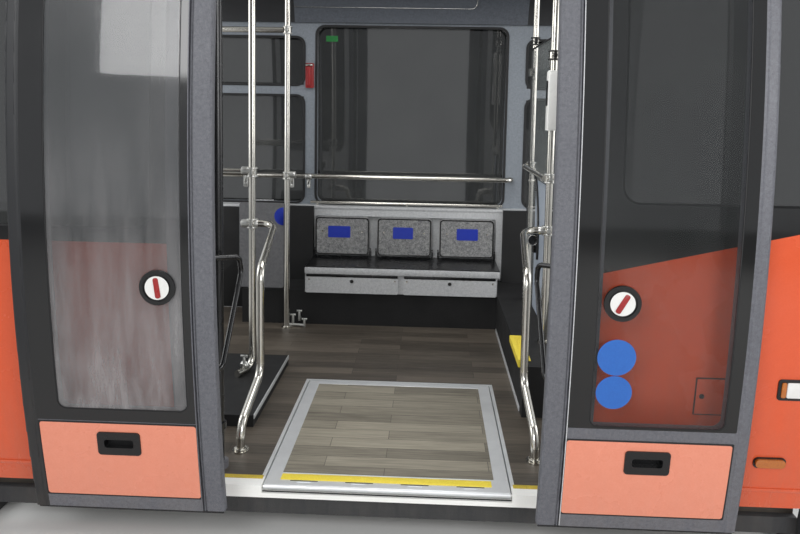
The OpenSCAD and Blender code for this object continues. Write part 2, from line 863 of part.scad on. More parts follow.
// Handrail in front of the far windows and the thin rail on the ledge below them.
module window_rails() {
    y = inner_y - handrail_off;
    z = floor_z + handrail_z;
    ends = [-wall_x + 100, window_x1 + 45];
    thin_z = far_belt_z + 2 * thin_r;
    color("Silver") {
        tube_run([[ends[0], surround_y - rail_clear, z], [ends[0], y, z], [ends[1], y, z],
            [ends[1], surround_y - rail_clear, z]], rail_r, 40);
        rod_x(window_x0 - 30, window_x1 - 5, thin_rail_y, thin_z, thin_r);
        for (x = thin_feet)
            translate([x, thin_rail_y, far_belt_z]) cylinder(h = 2 * thin_r, r = thin_r * 0.7);
    }
}

// Bent rail from an upright down to a foot beside the doorway.
module grab_rail(side) {
    p = side < 0 ? rear_posts[0] : front_posts[0];
    elbow = side * (portal_x - 64);
    knee = side * (portal_x - 104);
    foot = side * (portal_x - 92);
    color("Silver") {
        tube_run([
            [p[0] - side * (collar_r + rail_clear), p[1], floor_z + grab_z],
            [elbow, p[1], floor_z + grab_z],
            [knee, 500, floor_z + grab_z - 120],
            [knee, 500, floor_z + 212],
            [foot, 240, floor_z + 100],
            [foot, 240, floor_z + foot_t]], rail_r);
        translate([foot, 240, floor_z]) cylinder(h = foot_t + eps, r = foot_r);
    }
}

module glass_partition() {
    p = front_posts[0];
    color("LightBlue") block([p[0] - partition_t / 2, p[1] + partition_in[0], floor_z + partition_z[0]],
        [p[0] + partition_t / 2, front_posts[1][1] - partition_in[1], floor_z + partition_z[1]]);
}

module rear_screen() {
    p = rear_posts[1];
    color("LightGray") along_y(p[1] - screen_t / 2, p[1] + screen_t / 2)
        round_rect([screen_x, floor_z + screen_z[0]], [p[0] - rail_r - rail_clear, floor_z + screen_z[1]], 14);
}

module front_platform() {
    color("DimGray") block([platform_x, platform_y, floor_z], [wall_x, lower_y, floor_z + platform_h]);
}

module rear_plinth() {
    color("DimGray") block([-wall_x, plinth_y, floor_z], [plinth_x, plinth_far, floor_z + plinth_h]);
}

module validator_box() {
    p = front_posts[0];
    back = p[1] - rail_r - rail_clear;
    color("White") translate([0, 0, floor_z + validator_z]) linear_extrude(validator_size[2])
        round_rect([p[0] - validator_size[0] / 2, back - validator_size[1]], [p[0] + validator_size[0] / 2, back],
            validator_r);
}

module marker_lamp() {
    color("Orange") intersection() {
        wall_slab(lamp_x[0], lamp_x[1], floor_z + lamp_z[0], floor_z + lamp_z[1], -lamp_out, -seat_gap);
        along_y(near_y - 100, near_y + 200)
            round_rect([lamp_x[0], floor_z + lamp_z[0]], [lamp_x[1], floor_z + lamp_z[1]], 12);
    }
}

module inspection_cover() {
    color("OrangeRed") wall_slab(cover_x[0], cover_x[1], floor_z + flap_z[0], floor_z + flap_z[1], -flap_out, -seat_gap);
}

// Bent arm from the column to the leaf's pivot pin, drawn for the front door in its open place.
module door_arm(z) {
    mid = z + arm_t / 2;
    translate([column_x, column_y, z]) cylinder(h = arm_t, r = column_r + hub_wall);
    tube_run([[column_x, column_y, mid], [column_x, pivot_open_y, mid], [opened_x, pivot_open_y, mid]], arm_r, 60);
    translate([opened_x, pivot_open_y, z]) cylinder(h = arm_t, r = hub_r);
    translate([opened_x, pivot_open_y, z - pin_drop]) cylinder(h = pin_drop + eps, r = pivot_r);
}

module door_column(side) {
    on_side(side) color("Black") {
        translate([column_x, column_y, floor_z + seat_gap])
            cylinder(h = head_z + header_up - 2 * seat_gap, r = column_r);
        door_arm(floor_z + arm_low_z);
        door_arm(top_z - arm_high_z);
    }
}

// Puts a leaf that is drawn closed, with its middle at X = 0, in its open place.
module leaf_place(side) {
    on_side(side) translate([opened_x, -door_out, 0]) children();
}

function leaf_row(side) = leaf_rows[side < 0 ? 0 : 1];

// Openings of a leaf for its pane and for its lower panel, made smaller all round by off.
module leaf_pane_cut(side, off) {
    row = leaf_row(side);
    along_y(near_y - 100, 300)
        round_rect([leaf_inner + row[PANE_IN] + off, leaf_pane_z[0] + off],
            [leaf_outer - row[PANE_OUT] - off, leaf_pane_z[1] - off], 30);
}

module leaf_panel_cut(off) {
    along_y(near_y - 100, 300)
        round_rect([leaf_panel_x[0] + off, leaf_panel_z[0] + off], [leaf_panel_x[1] - off, leaf_panel_z[1] - off], 9);
}

// Hole of the pull handle in a leaf's lower panel, or its slot, made larger all round by grow.
module pull_hole(size, r, grow) {
    along_y(near_y - 100, 300)
        round_rect(pull_c - size / 2 - [grow, grow], pull_c + size / 2 + [grow, grow], r);
}

// Rebate along the foot of a leaf, on its inner side, where it closes over the sill.
module sill_rebate() {
    block([-leaf_w, -sill_gap, low_z - eps], [leaf_w, sill_d, floor_z + sill_gap]);
}

module leaf_frame(side) {
    leaf_place(side) color("DimGray") difference() {
        union() {
            wall_slab(leaf_inner + leaf_edge_w, leaf_outer - leaf_tube_w / 2, low_z, leaf_top, leaf_skin, leaf_t - leaf_skin);
            swept_bar(low_z, leaf_top)
                round_rect([0, leaf_outer - leaf_tube_w], [leaf_t, leaf_outer], leaf_tube_r);
        }
        sill_rebate();
        leaf_pane_cut(side, 0);
        leaf_panel_cut(0);
    }
}

module leaf_glass(side) {
    leaf_place(side) color("LightSlateGray") intersection() {
        wall_slab(leaf_inner, leaf_outer, low_z, leaf_top, glass_in, glass_in + pane_t);
        leaf_pane_cut(side, pane_clear);
    }
}

module leaf_panel(side) {
    leaf_place(side) color("OrangeRed") difference() {
        intersection() {
            wall_slab(leaf_inner, leaf_outer, low_z, leaf_top, leaf_skin / 2, leaf_t - leaf_skin);
            leaf_panel_cut(2 * seat_gap);
        }
        pull_hole(pull_size, 12, seat_gap);
    }
}

module leaf_seal(side) {
    leaf_place(side) color("Gray") difference() {
        swept_bar(low_z, leaf_top) difference() {
            round_rect([4, leaf_inner], [leaf_t - 4, leaf_inner + leaf_edge_w], leaf_seal_r);
            translate([0, leaf_inner + leaf_edge_w - 14]) square([8, 5]);
            translate([leaf_t - leaf_seal_r, leaf_inner + leaf_edge_w - leaf_seal_r])
                square([leaf_seal_r, leaf_seal_r + eps]);
        }
        sill_rebate();
    }
}

// Bracket in a leaf's inner face that an arm's pivot pin turns in.
module pivot_bracket(z) {
    difference() {
        along_x(-bracket_w / 2, bracket_w / 2) intersection() {
            side_disc(leaf_t - leaf_skin + seat_gap);
            translate([near_y, z - pin_drop]) square([closed_y + 15 - near_y, bracket_h]);
        }
        translate([0, closed_y, z - pin_drop - eps]) cylinder(h = bracket_h + 2 * eps, r = pivot_r + seat_gap);
    }
}

// Inner handle: a curved top piece that reaches inwards, and a slanted bar back to the leaf.
module leaf_handle() {
    hold_x = leaf_inner + leaf_edge_w + 18;
    bar_x = leaf_inner + 15;
    top = floor_z + handle_z;
    low = floor_z + 440;
    tube_run([
        [hold_x, near_face(top, leaf_t) + leaf_skin, top],
        [hold_x, handle_reach - 136, top],
        [bar_x, handle_reach - 26, top - 15],
        [bar_x, handle_reach, top - 75],
        [bar_x, -6, low + 22],
        [hold_x, -25, low],
        [hold_x, near_face(low, leaf_t) + leaf_skin, low]], handle_r, 30);
    for (z = [low, top])
        on_skin(hold_x, z) translate([0, 0, leaf_skin - leaf_t - seat_gap - foot_t])
            cylinder(h = foot_t, r = 2 * handle_r);
}

// Emergency knob on the outside of a leaf's pane: a ring round a raised dial.
module leaf_knob(side) {
    row = leaf_row(side);
    on_skin(row[KNOB_X], floor_z + row[KNOB_Z]) translate([0, 0, seat_gap - glass_in]) difference() {
        cylinder(h = knob_t, r = knob_r);
        translate([0, 0, knob_t - knob_step]) difference() {
            cylinder(h = knob_t, r = knob_dial_r + 5);
            translate([0, 0, -eps]) cylinder(h = knob_t, r = knob_dial_r);
        }
    }
}

module leaf_fittings(side) {
    leaf_place(side) color("Black") {
        for (z = [floor_z + arm_low_z, top_z - arm_high_z])
            pivot_bracket(z);
        leaf_handle();
        leaf_knob(side);
        difference() {
            intersection() {
                wall_slab(leaf_inner, leaf_outer, low_z, leaf_top, -pull_out, pull_d);
                pull_hole(pull_size, 12, 0);
            }
            intersection() {
                wall_slab(leaf_inner, leaf_outer, low_z, leaf_top, -pull_out - eps, pull_d - 4);
                pull_hole(pull_slot, 8, 0);
            }
        }
    }
}

module tip_seat(i) {
    x = seat_x + (i - 1) * seat_pitch;
    y = lower_y - hinge_off;
    z = floor_z + bench_h + seat_lift;
    low = [x - seat_w / 2, z - seat_tail];
    high = [x + seat_w / 2, z - seat_tail + seat_d];
    color("DarkSlateGray") {
        along_y(y - seat_t / 2 + seat_rim_t, y + seat_t / 2) round_rect(low, high, seat_corner_r);
        along_y(y - seat_t / 2, y - seat_t / 2 + seat_rim_t + eps)
            round_rect(low + [seat_rim, seat_rim], high - [seat_rim, seat_rim], seat_corner_r - seat_rim / 2);
        rod_x(low[0] - seat_side - lug_w, high[0] + seat_side + lug_w, y, z, seat_pin_r);
    }
}

// Tray on the bench box with a lug for each end of the seats' pins.
module seat_brackets() {
    y = lower_y - hinge_off;
    z = floor_z + bench_h + seat_lift;
    top = floor_z + bench_h;
    color("Black") {
        block([bench_x, bench_front + tray_in, top], [ledge_end, lower_y - seat_gap, top + tray_t]);
        for (i = [0 : 2], side = [-1, 1]) {
            x = seat_x + (i - 1) * seat_pitch + side * (seat_w / 2 + seat_side + lug_w / 2);
            difference() {
                union() {
                    block([x - lug_w / 2, y - lug_r, top], [x + lug_w / 2, y + lug_r, z]);
                    rod_x(x - lug_w / 2, x + lug_w / 2, y, z, lug_r);
                }
                rod_x(x - lug_w, x + lug_w, y, z, seat_pin_r + seat_gap);
            }
        }
    }
}

underframe();
floor_deck();
door_sill();
ramp_surround();
ramp_plate();
ramp_mat();
joint_ring(-1);  // ring_rear
joint_ring(1);  // ring_front
side_panel(-1);  // side_panel_rear
side_panel(1);  // side_panel_front
window_frame(-1);  // window_frame_rear
window_frame(1);  // window_frame_front
near_glass();
portal_posts();
cantrail_near();
door_header();
far_panel();
far_window_frame();
far_glass();
cantrail_far();
window_surround();
far_lining();
bench_box();
bench_base();
cove_panel();
roof_skin();
ceiling_panel();
ceiling_lights();
stanchions_rear();
stanchions_front();
ceiling_rails();
window_rails();
grab_rail(-1);  // grab_rail_rear
grab_rail(1);  // grab_rail_front
glass_partition();
rear_screen();
front_platform();
rear_plinth();
validator_box();
marker_lamp();
inspection_cover();
door_column(-1);  // column_rear
door_column(1);  // column_front
leaf_frame(-1);  // leaf_frame_rear
leaf_glass(-1);  // leaf_glass_rear
leaf_panel(-1);  // leaf_panel_rear
leaf_seal(-1);  // leaf_seal_rear
leaf_fittings(-1);  // leaf_fittings_rear
leaf_frame(1);  // leaf_frame_front
leaf_glass(1);  // leaf_glass_front
leaf_panel(1);  // leaf_panel_front
leaf_seal(1);  // leaf_seal_front
leaf_fittings(1);  // leaf_fittings_front
seat_brackets();
tip_seat(0);  // seat_left
tip_seat(1);  // seat_middle
tip_seat(2);  // seat_right
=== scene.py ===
"""Entrance bay of a low-floor passenger bus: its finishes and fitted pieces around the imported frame."""

import json
import logging
import math
from collections.abc import Callable
from dataclasses import dataclass, field
from enum import Enum

import bpy
from mathutils import Matrix, Vector

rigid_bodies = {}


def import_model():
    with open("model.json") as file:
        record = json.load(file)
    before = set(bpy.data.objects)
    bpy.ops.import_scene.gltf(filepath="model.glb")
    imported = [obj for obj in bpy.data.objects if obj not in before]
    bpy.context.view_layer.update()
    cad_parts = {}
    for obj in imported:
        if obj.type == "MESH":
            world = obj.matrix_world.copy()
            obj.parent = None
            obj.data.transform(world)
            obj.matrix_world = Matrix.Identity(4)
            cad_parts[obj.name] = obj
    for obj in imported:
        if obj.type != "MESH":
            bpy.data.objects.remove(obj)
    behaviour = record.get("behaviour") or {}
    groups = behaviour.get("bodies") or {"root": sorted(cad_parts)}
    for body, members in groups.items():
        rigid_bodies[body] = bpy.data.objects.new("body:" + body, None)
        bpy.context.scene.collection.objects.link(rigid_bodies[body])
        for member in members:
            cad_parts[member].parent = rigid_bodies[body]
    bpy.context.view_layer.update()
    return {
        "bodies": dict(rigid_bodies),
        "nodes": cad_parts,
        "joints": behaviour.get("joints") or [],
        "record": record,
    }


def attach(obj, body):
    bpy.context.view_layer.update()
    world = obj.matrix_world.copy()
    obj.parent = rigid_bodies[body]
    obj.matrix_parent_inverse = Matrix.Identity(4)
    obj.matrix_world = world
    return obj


LOG = logging.getLogger("entrance_bay")
SHARP = math.radians(40)
SMOOTH = math.radians(32)
Colour = tuple[int, int, int]
Point = tuple[float, float, float]
Span = tuple[float, float]
Window = tuple[Span, Span]
Piece = bpy.types.Object
Socket = bpy.types.NodeSocket
Value = Socket | float | tuple


class Body(Enum):
    """Moving bodies that pieces ride on."""

    BAY = "bay"
    LEAF_REAR = "leaf_rear"
    LEAF_FRONT = "leaf_front"
    RAMP = "ramp"
    SEAT_LEFT = "seat_left"
    SEAT_MIDDLE = "seat_middle"
    SEAT_RIGHT = "seat_right"


class Slot(Enum):
    """Material slots of the record."""

    ORANGE = "orange_paint"
    CHASSIS = "chassis_paint"
    BAND = "black_band"
    STEEL_BLACK = "black_steel"
    STEEL = "polished_steel"
    ALUMINIUM = "sill_aluminium"
    FLOOR = "floor_covering"
    LINING = "light_lining"
    TRIM = "dark_trim"
    LEAF = "leaf_frame_grey"
    RUBBER = "edge_rubber"
    GLASS = "tinted_glass"
    CLEAR = "clear_glass"
    WHITE = "white_plastic"
    LAMP = "lamp_cover"
    AMBER = "amber_lens"
    SEAT = "seat_grey"


class Extra(Enum):
    """Finishes of small fitted pieces and of single nodes."""

    BORDER = "black_border"
    SEAL = "seal_rubber"
    CHROME = "bright_metal"
    BLUE = "blue_film"
    GREEN = "green_film"
    FILM = "pale_film"
    NAVY = "navy_film"
    YELLOW = "yellow_tape"
    OCHRE = "worn_yellow_tape"
    RED = "red_plastic"
    LEAF_DARK = "leaf_frame_dark_edge"
    SALMON = "leaf_panel_paint"
    PANE = "leaf_pane_glass"
    HAZY = "leaf_pane_hazy_glass"
    CAST = "cast_clamp_metal"
    PILLAR = "pillar_plastic"
    SILL = "sill_paint"
    MAT = "ramp_covering"
    KICK = "black_kick_panel"
    COVE = "cove_panel_plastic"
    SCREEN = "rear_screen_plastic"


# Nodes with a finish of their own instead of their slot's.
OWN = {
    "leaf_frame_rear": Extra.LEAF_DARK, "leaf_panel_rear": Extra.SALMON, "leaf_panel_front": Extra.SALMON,
    "leaf_glass_rear": Extra.HAZY, "leaf_glass_front": Extra.PANE, "door_sill": Extra.SILL,
    "ramp_mat": Extra.MAT, "bench_base": Extra.KICK, "rear_plinth": Extra.KICK, "front_platform": Extra.KICK,
    "cove_panel": Extra.COVE, "rear_screen": Extra.SCREEN, "window_surround": Extra.PILLAR,
}


def linear(colour: Colour) -> tuple[float, float, float, float]:
    """Turns a colour as the eye sees it into the linear colour that a shader takes.

    Args:
        colour: Red, green and blue from 0 to 255.

    Returns:
        Linear red, green, blue and an alpha of 1.
    """
    parts = [c / 255 for c in colour]
    return (*[p / 12.92 if p <= 0.04045 else ((p + 0.055) / 1.055) ** 2.4 for p in parts], 1.0)


@dataclass
class Graph:
    """A node tree being wired, with short calls for adding and linking nodes."""

    tree: bpy.types.NodeTree

    def add(self, kind: str, links: dict | None = None, **settings: object) -> bpy.types.Node:
        """Adds a node.

        Args:
            kind: Blender's name of the node's type, without the word ShaderNode.
            links: Value or output socket for each input, by its name or number.
            settings: Properties of the node.

        Returns:
            The new node.
        """
        node = self.tree.nodes.new(kind if kind.startswith("Node") else "ShaderNode" + kind)
        for name, value in settings.items():
            setattr(node, name, value)
        self.feed(node, links or {})
        return node

    def feed(self, node: bpy.types.Node, links: dict) -> None:
        """Links or sets inputs of a node.

        Args:
            node: The node.
            links: Value or output socket for each input, by its name or number.
        """
        for key, value in links.items():
            if isinstance(value, Socket):
                self.tree.links.new(value, node.inputs[key])
            else:
                node.inputs[key].default_value = value

    def math(self, operation: str, *values: Value) -> Socket:
        """Adds a math node and returns its result."""
        return self.add("Math", dict(enumerate(values)), operation=operation).outputs[0]

    def ramp(self, value: Socket, low: Value, high: Value) -> Socket:
        """Stretches the span from low to high over 0 to 1."""
        links = {"Value": value, "From Min": low, "From Max": high}
        return self.add("MapRange", links, clamp=True).outputs["Result"]

    def mix(self, share: Value, first: Value, second: Value) -> Socket:
        """Mixes two colours by a share and returns the result."""
        return self.add("Mix", {0: share, 6: first, 7: second}, data_type="RGBA").outputs[2]

    def place(self) -> Socket:
        """Adds the object's own coordinates."""
        return self.add("TexCoord").outputs["Object"]

    def noise(self, vector: Socket, scale: Value, detail: float, roughness: float = 0.5) -> Socket:
        """Adds a noise and returns its value."""
        links = {"Vector": vector, "Scale": scale, "Detail": detail, "Roughness": roughness}
        return self.add("TexNoise", links).outputs["Fac"]

    def bump(self, height: Socket, strength: float, distance: float) -> Socket:
        """Adds bumps of a height and returns their normal."""
        return self.add("Bump", {"Height": height, "Strength": strength, "Distance": distance}).outputs[0]


class Effect(Enum):
    """Shader groups that several finishes share."""

    SPECKLE = "Speckle"
    WEAR = "Soft wear"
    DUST = "Road dust"
    BRUSHED = "Brushed grain"
    PLANKS = "Wood planks"


@dataclass
class Effects:
    """Builds each shared shader group once and places it in materials."""

    built: dict[Effect, bpy.types.NodeTree] = field(default_factory=dict)

    def start(self, effect: Effect, outputs: tuple[str, ...],
              **inputs: float) -> tuple[Graph, bpy.types.NodeOutputs]:
        """Makes an empty group with named sockets.

        Args:
            effect: The group to make.
            outputs: Name of each output.
            inputs: Default value of each input, with underscores for spaces.

        Returns:
            The group's graph, and the sockets that carry its inputs.
        """
        tree = bpy.data.node_groups.new(effect.value, "ShaderNodeTree")
        for name, value in inputs.items():
            spaced = name.replace("_", " ")
            socket = tree.interface.new_socket(spaced, in_out="INPUT", socket_type="NodeSocketFloat")
            socket.default_value = value
        for name in outputs:
            tree.interface.new_socket(name, in_out="OUTPUT", socket_type="NodeSocketFloat")
        self.built[effect] = tree
        graph = Graph(tree)
        return graph, graph.add("NodeGroupInput").outputs

    def speckle(self) -> None:
        """Fine two-tone grain, as on sprayed plastic, with a height for its bumps."""
        g, source = self.start(Effect.SPECKLE, ("Mask", "Height"), Size=0.002, Contrast=1.0)
        place = g.place()
        scale = g.math("DIVIDE", 1.0, source["Size"])
        fine = g.noise(place, scale, 2.0, 0.6)
        coarse = g.noise(place, g.math("MULTIPLY", scale, 0.23), 1.0)
        both = g.math("ADD", g.math("MULTIPLY", fine, 0.7), g.math("MULTIPLY", coarse, 0.3))
        gain = g.math("MULTIPLY", source["Contrast"], 3.2)
        centred = g.math("MULTIPLY", g.math("SUBTRACT", both, 0.5), gain)
        mask = g.add("Clamp", {"Value": g.math("ADD", centred, 0.5)}).outputs[0]
        g.add("NodeGroupOutput", {"Mask": mask, "Height": fine})

    def wear(self) -> None:
        """Large soft patches, for the gloss of handled surfaces."""
        g, source = self.start(Effect.WEAR, ("Patches",), Size=0.15)
        patches = g.noise(g.place(), g.math("DIVIDE", 1.0, source["Size"]), 4.0)
        g.add("NodeGroupOutput", {"Patches": g.ramp(patches, 0.35, 0.7)})

    def dust(self) -> None:
        """Road dust that thickens below a height and gathers in streaks."""
        g, source = self.start(Effect.DUST, ("Mask",), Clean_height=0.9, Dirty_height=0.1)
        place = g.place()
        height = g.add("SeparateXYZ", {"Vector": place}).outputs["Z"]
        fall = g.ramp(height, source["Clean height"], source["Dirty height"])
        streaks = g.add("Mapping", {"Vector": place, "Scale": (14.0, 14.0, 1.6)}).outputs[0]
        cloud = g.noise(streaks, 1.0, 5.0, 0.7)
        g.add("NodeGroupOutput", {"Mask": g.math("MULTIPLY", fall, g.ramp(cloud, 0.3, 0.8))})

    def brushed(self) -> None:
        """Fine lines drawn along one axis, as polishing leaves on metal."""
        inputs = {"Along_X": 0.0, "Along_Y": 0.0, "Along_Z": 1.0, "Fineness": 900.0}
        g, source = self.start(Effect.BRUSHED, ("Lines",), **inputs)
        axes = g.add("SeparateXYZ", {"Vector": g.place()}).outputs
        stretched = []
        for axis in "XYZ":
            keep = g.math("SUBTRACT", 1.0, g.math("MULTIPLY", source["Along " + axis], 0.985))
            stretched.append(g.math("MULTIPLY", axes[axis], keep))
        vector = g.add("CombineXYZ", dict(zip("XYZ", stretched))).outputs[0]
        lines = g.noise(vector, source["Fineness"], 3.0)
        g.add("NodeGroupOutput", {"Lines": g.ramp(lines, 0.3, 0.7)})

    def planks(self) -> None:
        """Staggered wood-look planks along X, with a tone for each plank, its grain and its joints."""
        g, source = self.start(Effect.PLANKS, ("Tone", "Grain", "Joint"), Length=0.62, Width=0.075)
        place = g.place()
        links = {
            "Vector": place, "Color1": (0, 0, 0, 1), "Color2": (1, 1, 1, 1), "Mortar": (0.5, 0.5, 0.5, 1),
            "Scale": 1.0, "Mortar Size": 0.0012, "Brick Width": source["Length"],
            "Row Height": source["Width"],
        }
        bricks = g.add("TexBrick", links, offset=0.37, squash=1.0).outputs
        tone = g.add("SeparateColor", {"Color": bricks["Color"]}).outputs[0]
        streak = g.add("Mapping", {"Vector": place, "Scale": (5.0, 90.0, 1.0)}).outputs[0]
        shift = g.add("VectorMath", {0: streak, 1: bricks["Color"]}, operation="ADD").outputs[0]
        grain = g.noise(shift, 1.0, 6.0, 0.65)
        g.add("NodeGroupOutput", {"Tone": tone, "Grain": g.ramp(grain, 0.25, 0.75), "Joint": bricks["Fac"]})

    def place(self, graph: Graph, effect: Effect, **values: float) -> bpy.types.NodeOutputs:
        """Puts a group in a material with its own values.

        Args:
            graph: The material's graph.
            effect: The group to place.
            values: Input values, with underscores for spaces.

        Returns:
            The placed group's outputs.
        """
        if effect not in self.built:
            getattr(self, effect.name.lower())()
        links = {name.replace("_", " "): value for name, value in values.items()}
        return graph.add("Group", links, node_tree=self.built[effect]).outputs


EFFECTS = Effects()


@dataclass(frozen=True)
class Surface:
    """A finish, with the slot or the name that it goes by."""

    slot: Slot | Extra

    def shade(self, g: Graph) -> dict[str, Value]:
        """Wires the finish, in a way that each kind of finish gives."""
        raise NotImplementedError

    def build(self) -> bpy.types.Material:
        """Makes the material.

        Returns:
            The material.
        """
        material, g, shader = new_material(self.slot.value)
        g.feed(shader, self.shade(g))
        return material


@dataclass(frozen=True)
class Finish(Surface):
    """Opaque surface: two tones mixed by a speckle, soft patches in its gloss, and dust low down."""

    colour: Colour
    flecks: Colour
    grain: float = 0.002
    contrast: float = 0.6
    bump: float = 0.15
    roughness: float = 0.5
    metallic: float = 0.0
    coat: float = 0.0
    patches: float = 0.12
    dust: float = 0.0
    dust_top: float = 0.8
    dust_colour: Colour = (150, 142, 130)
    dark_beyond: float = 0.0

    def shade(self, g: Graph) -> dict[str, Value]:
        """Wires the finish.

        Args:
            g: The material's graph.

        Returns:
            What the shader's inputs take, by their names.
        """
        speckle = EFFECTS.place(g, Effect.SPECKLE, Size=self.grain, Contrast=self.contrast)
        colour = g.mix(speckle["Mask"], linear(self.colour), linear(self.flecks))
        # Near-black beyond a distance along X: on the rear leaf's frame this is painted shade on its outer
        # rubber edge; on the cove panel it darkens both ends.
        if self.dark_beyond > 0:
            along = g.add("SeparateXYZ", {"Vector": g.place()}).outputs["X"]
            outer = g.math("GREATER_THAN", g.math("ABSOLUTE", along), self.dark_beyond)
            colour = g.mix(outer, colour, linear((26, 27, 30)))
        wear = EFFECTS.place(g, Effect.WEAR, Size=0.18)
        rough = g.math("MULTIPLY_ADD", wear["Patches"], self.patches, self.roughness - self.patches / 2)
        if self.dust > 0:
            dust = EFFECTS.place(g, Effect.DUST, Clean_height=self.dust_top, Dirty_height=0.12)
            share = g.math("MULTIPLY", dust["Mask"], self.dust)
            colour = g.mix(share, colour, linear(self.dust_colour))
            rough = g.math("MAXIMUM", rough, g.math("MULTIPLY", share, 0.9))
        normal = g.bump(speckle["Height"], self.bump, self.grain)
        return {"Base Color": colour, "Roughness": rough, "Metallic": self.metallic, "Coat Weight": self.coat,
                "Coat Roughness": 0.06, "Normal": normal}


@dataclass(frozen=True)
class MetalFinish(Surface):
    """Bare or polished metal with fine lines along one axis."""

    colour: Colour
    roughness: float
    along: str = "Z"
    streaks: float = 0.12
    smears: Colour = (120, 120, 122)
    metallic: float = 1.0
    bump: float = 0.04

    def shade(self, g: Graph) -> dict[str, Value]:
        """Wires the finish.

        Args:
            g: The material's graph.

        Returns:
            What the shader's inputs take, by their names.
        """
        axes = {"Along_" + axis: float(axis == self.along) for axis in "XYZ"}
        lines = EFFECTS.place(g, Effect.BRUSHED, Fineness=700.0, **axes)["Lines"]
        patches = EFFECTS.place(g, Effect.WEAR, Size=0.12)
        colour = g.mix(g.math("MULTIPLY", patches["Patches"], 0.35), linear(self.colour), linear(self.smears))
        rough = g.math("MULTIPLY_ADD", lines, self.streaks, self.roughness)
        rough = g.math("MULTIPLY_ADD", patches["Patches"], 0.1, rough)
        return {"Base Color": colour, "Roughness": rough, "Metallic": self.metallic,
                "Normal": g.bump(lines, self.bump, 0.001)}


@dataclass(frozen=True)
class GlassFinish(Surface):
    """Thin pane: tinted, glossy, with dust and faint smears on it, and where asked a pale painted reflection
    over it.
    """

    tint: Colour
    alpha: float
    roughness: float = 0.02
    haze: float = 0.1
    haze_colour: Colour = (150, 152, 150)
    veil: float = 0.0

    def shade(self, g: Graph) -> dict[str, Value]:
        """Wires the finish.

        Args:
            g: The material's graph.

        Returns:
            What the shader's inputs take, by their names.
        """
        wear = EFFECTS.place(g, Effect.WEAR, Size=0.3)
        dust = EFFECTS.place(g, Effect.DUST, Clean_height=1.6, Dirty_height=0.3)["Mask"]
        # Film: dust low down, faint smears, and on the leaf panes an even veil that is painted reflection;
        # the rear pane's strong pale share is dust and painted reflection.
        film = g.math("MULTIPLY_ADD", dust, self.haze, self.veil)
        film = g.math("MULTIPLY_ADD", wear["Patches"], 0.04, film)
        colour = g.mix(g.math("MULTIPLY", film, 2.0), linear(self.tint), linear(self.haze_colour))
        return {"Base Color": colour, "Alpha": g.math("ADD", film, self.alpha),
                "Roughness": g.math("ADD", film, self.roughness), "Coat Weight": 1.0, "Coat Roughness": 0.015}


@dataclass(frozen=True)
class PlankFinish(Surface):
    """Wood-look floor covering with staggered planks along the bus."""

    dark: Colour
    light: Colour
    roughness: float = 0.42

    def shade(self, g: Graph) -> dict[str, Value]:
        """Wires the finish.

        Args:
            g: The material's graph.

        Returns:
            What the shader's inputs take, by their names.
        """
        planks = EFFECTS.place(g, Effect.PLANKS)
        share = g.math("MULTIPLY_ADD", planks["Tone"], 0.45, g.math("MULTIPLY", planks["Grain"], 0.55))
        colour = g.mix(share, linear(self.dark), linear(self.light))
        colour = g.mix(g.math("MULTIPLY", planks["Joint"], 0.7), colour, linear((34, 30, 26)))
        wear = EFFECTS.place(g, Effect.WEAR, Size=0.35)
        rough = g.math("MULTIPLY_ADD", wear["Patches"], 0.14, self.roughness)
        height = g.math("SUBTRACT", planks["Grain"], planks["Joint"])
        return {"Base Color": colour, "Roughness": rough, "Normal": g.bump(height, 0.12, 0.001)}


@dataclass(frozen=True)
class LampFinish(Surface):
    """Opal cover with a weak light of its own."""

    colour: Colour
    strength: float

    def shade(self, g: Graph) -> dict[str, Value]:
        """Wires the finish.

        Args:
            g: The material's graph.

        Returns:
            What the shader's inputs take, by their names.
        """
        speckle = EFFECTS.place(g, Effect.SPECKLE, Size=0.004, Contrast=0.3)
        colour = g.mix(speckle["Mask"], linear(self.colour), linear((255, 255, 255)))
        return {"Base Color": colour, "Emission Color": colour, "Emission Strength": self.strength,
                "Roughness": 0.35}


def new_material(name: str) -> tuple[bpy.types.Material, Graph, bpy.types.Node]:
    """Starts a node material.

    Args:
        name: The material's name.

    Returns:
        The material, its graph and its Principled shader.
    """
    material = bpy.data.materials.new(name)
    material.use_nodes = True
    return material, Graph(material.node_tree), material.node_tree.nodes["Principled BSDF"]


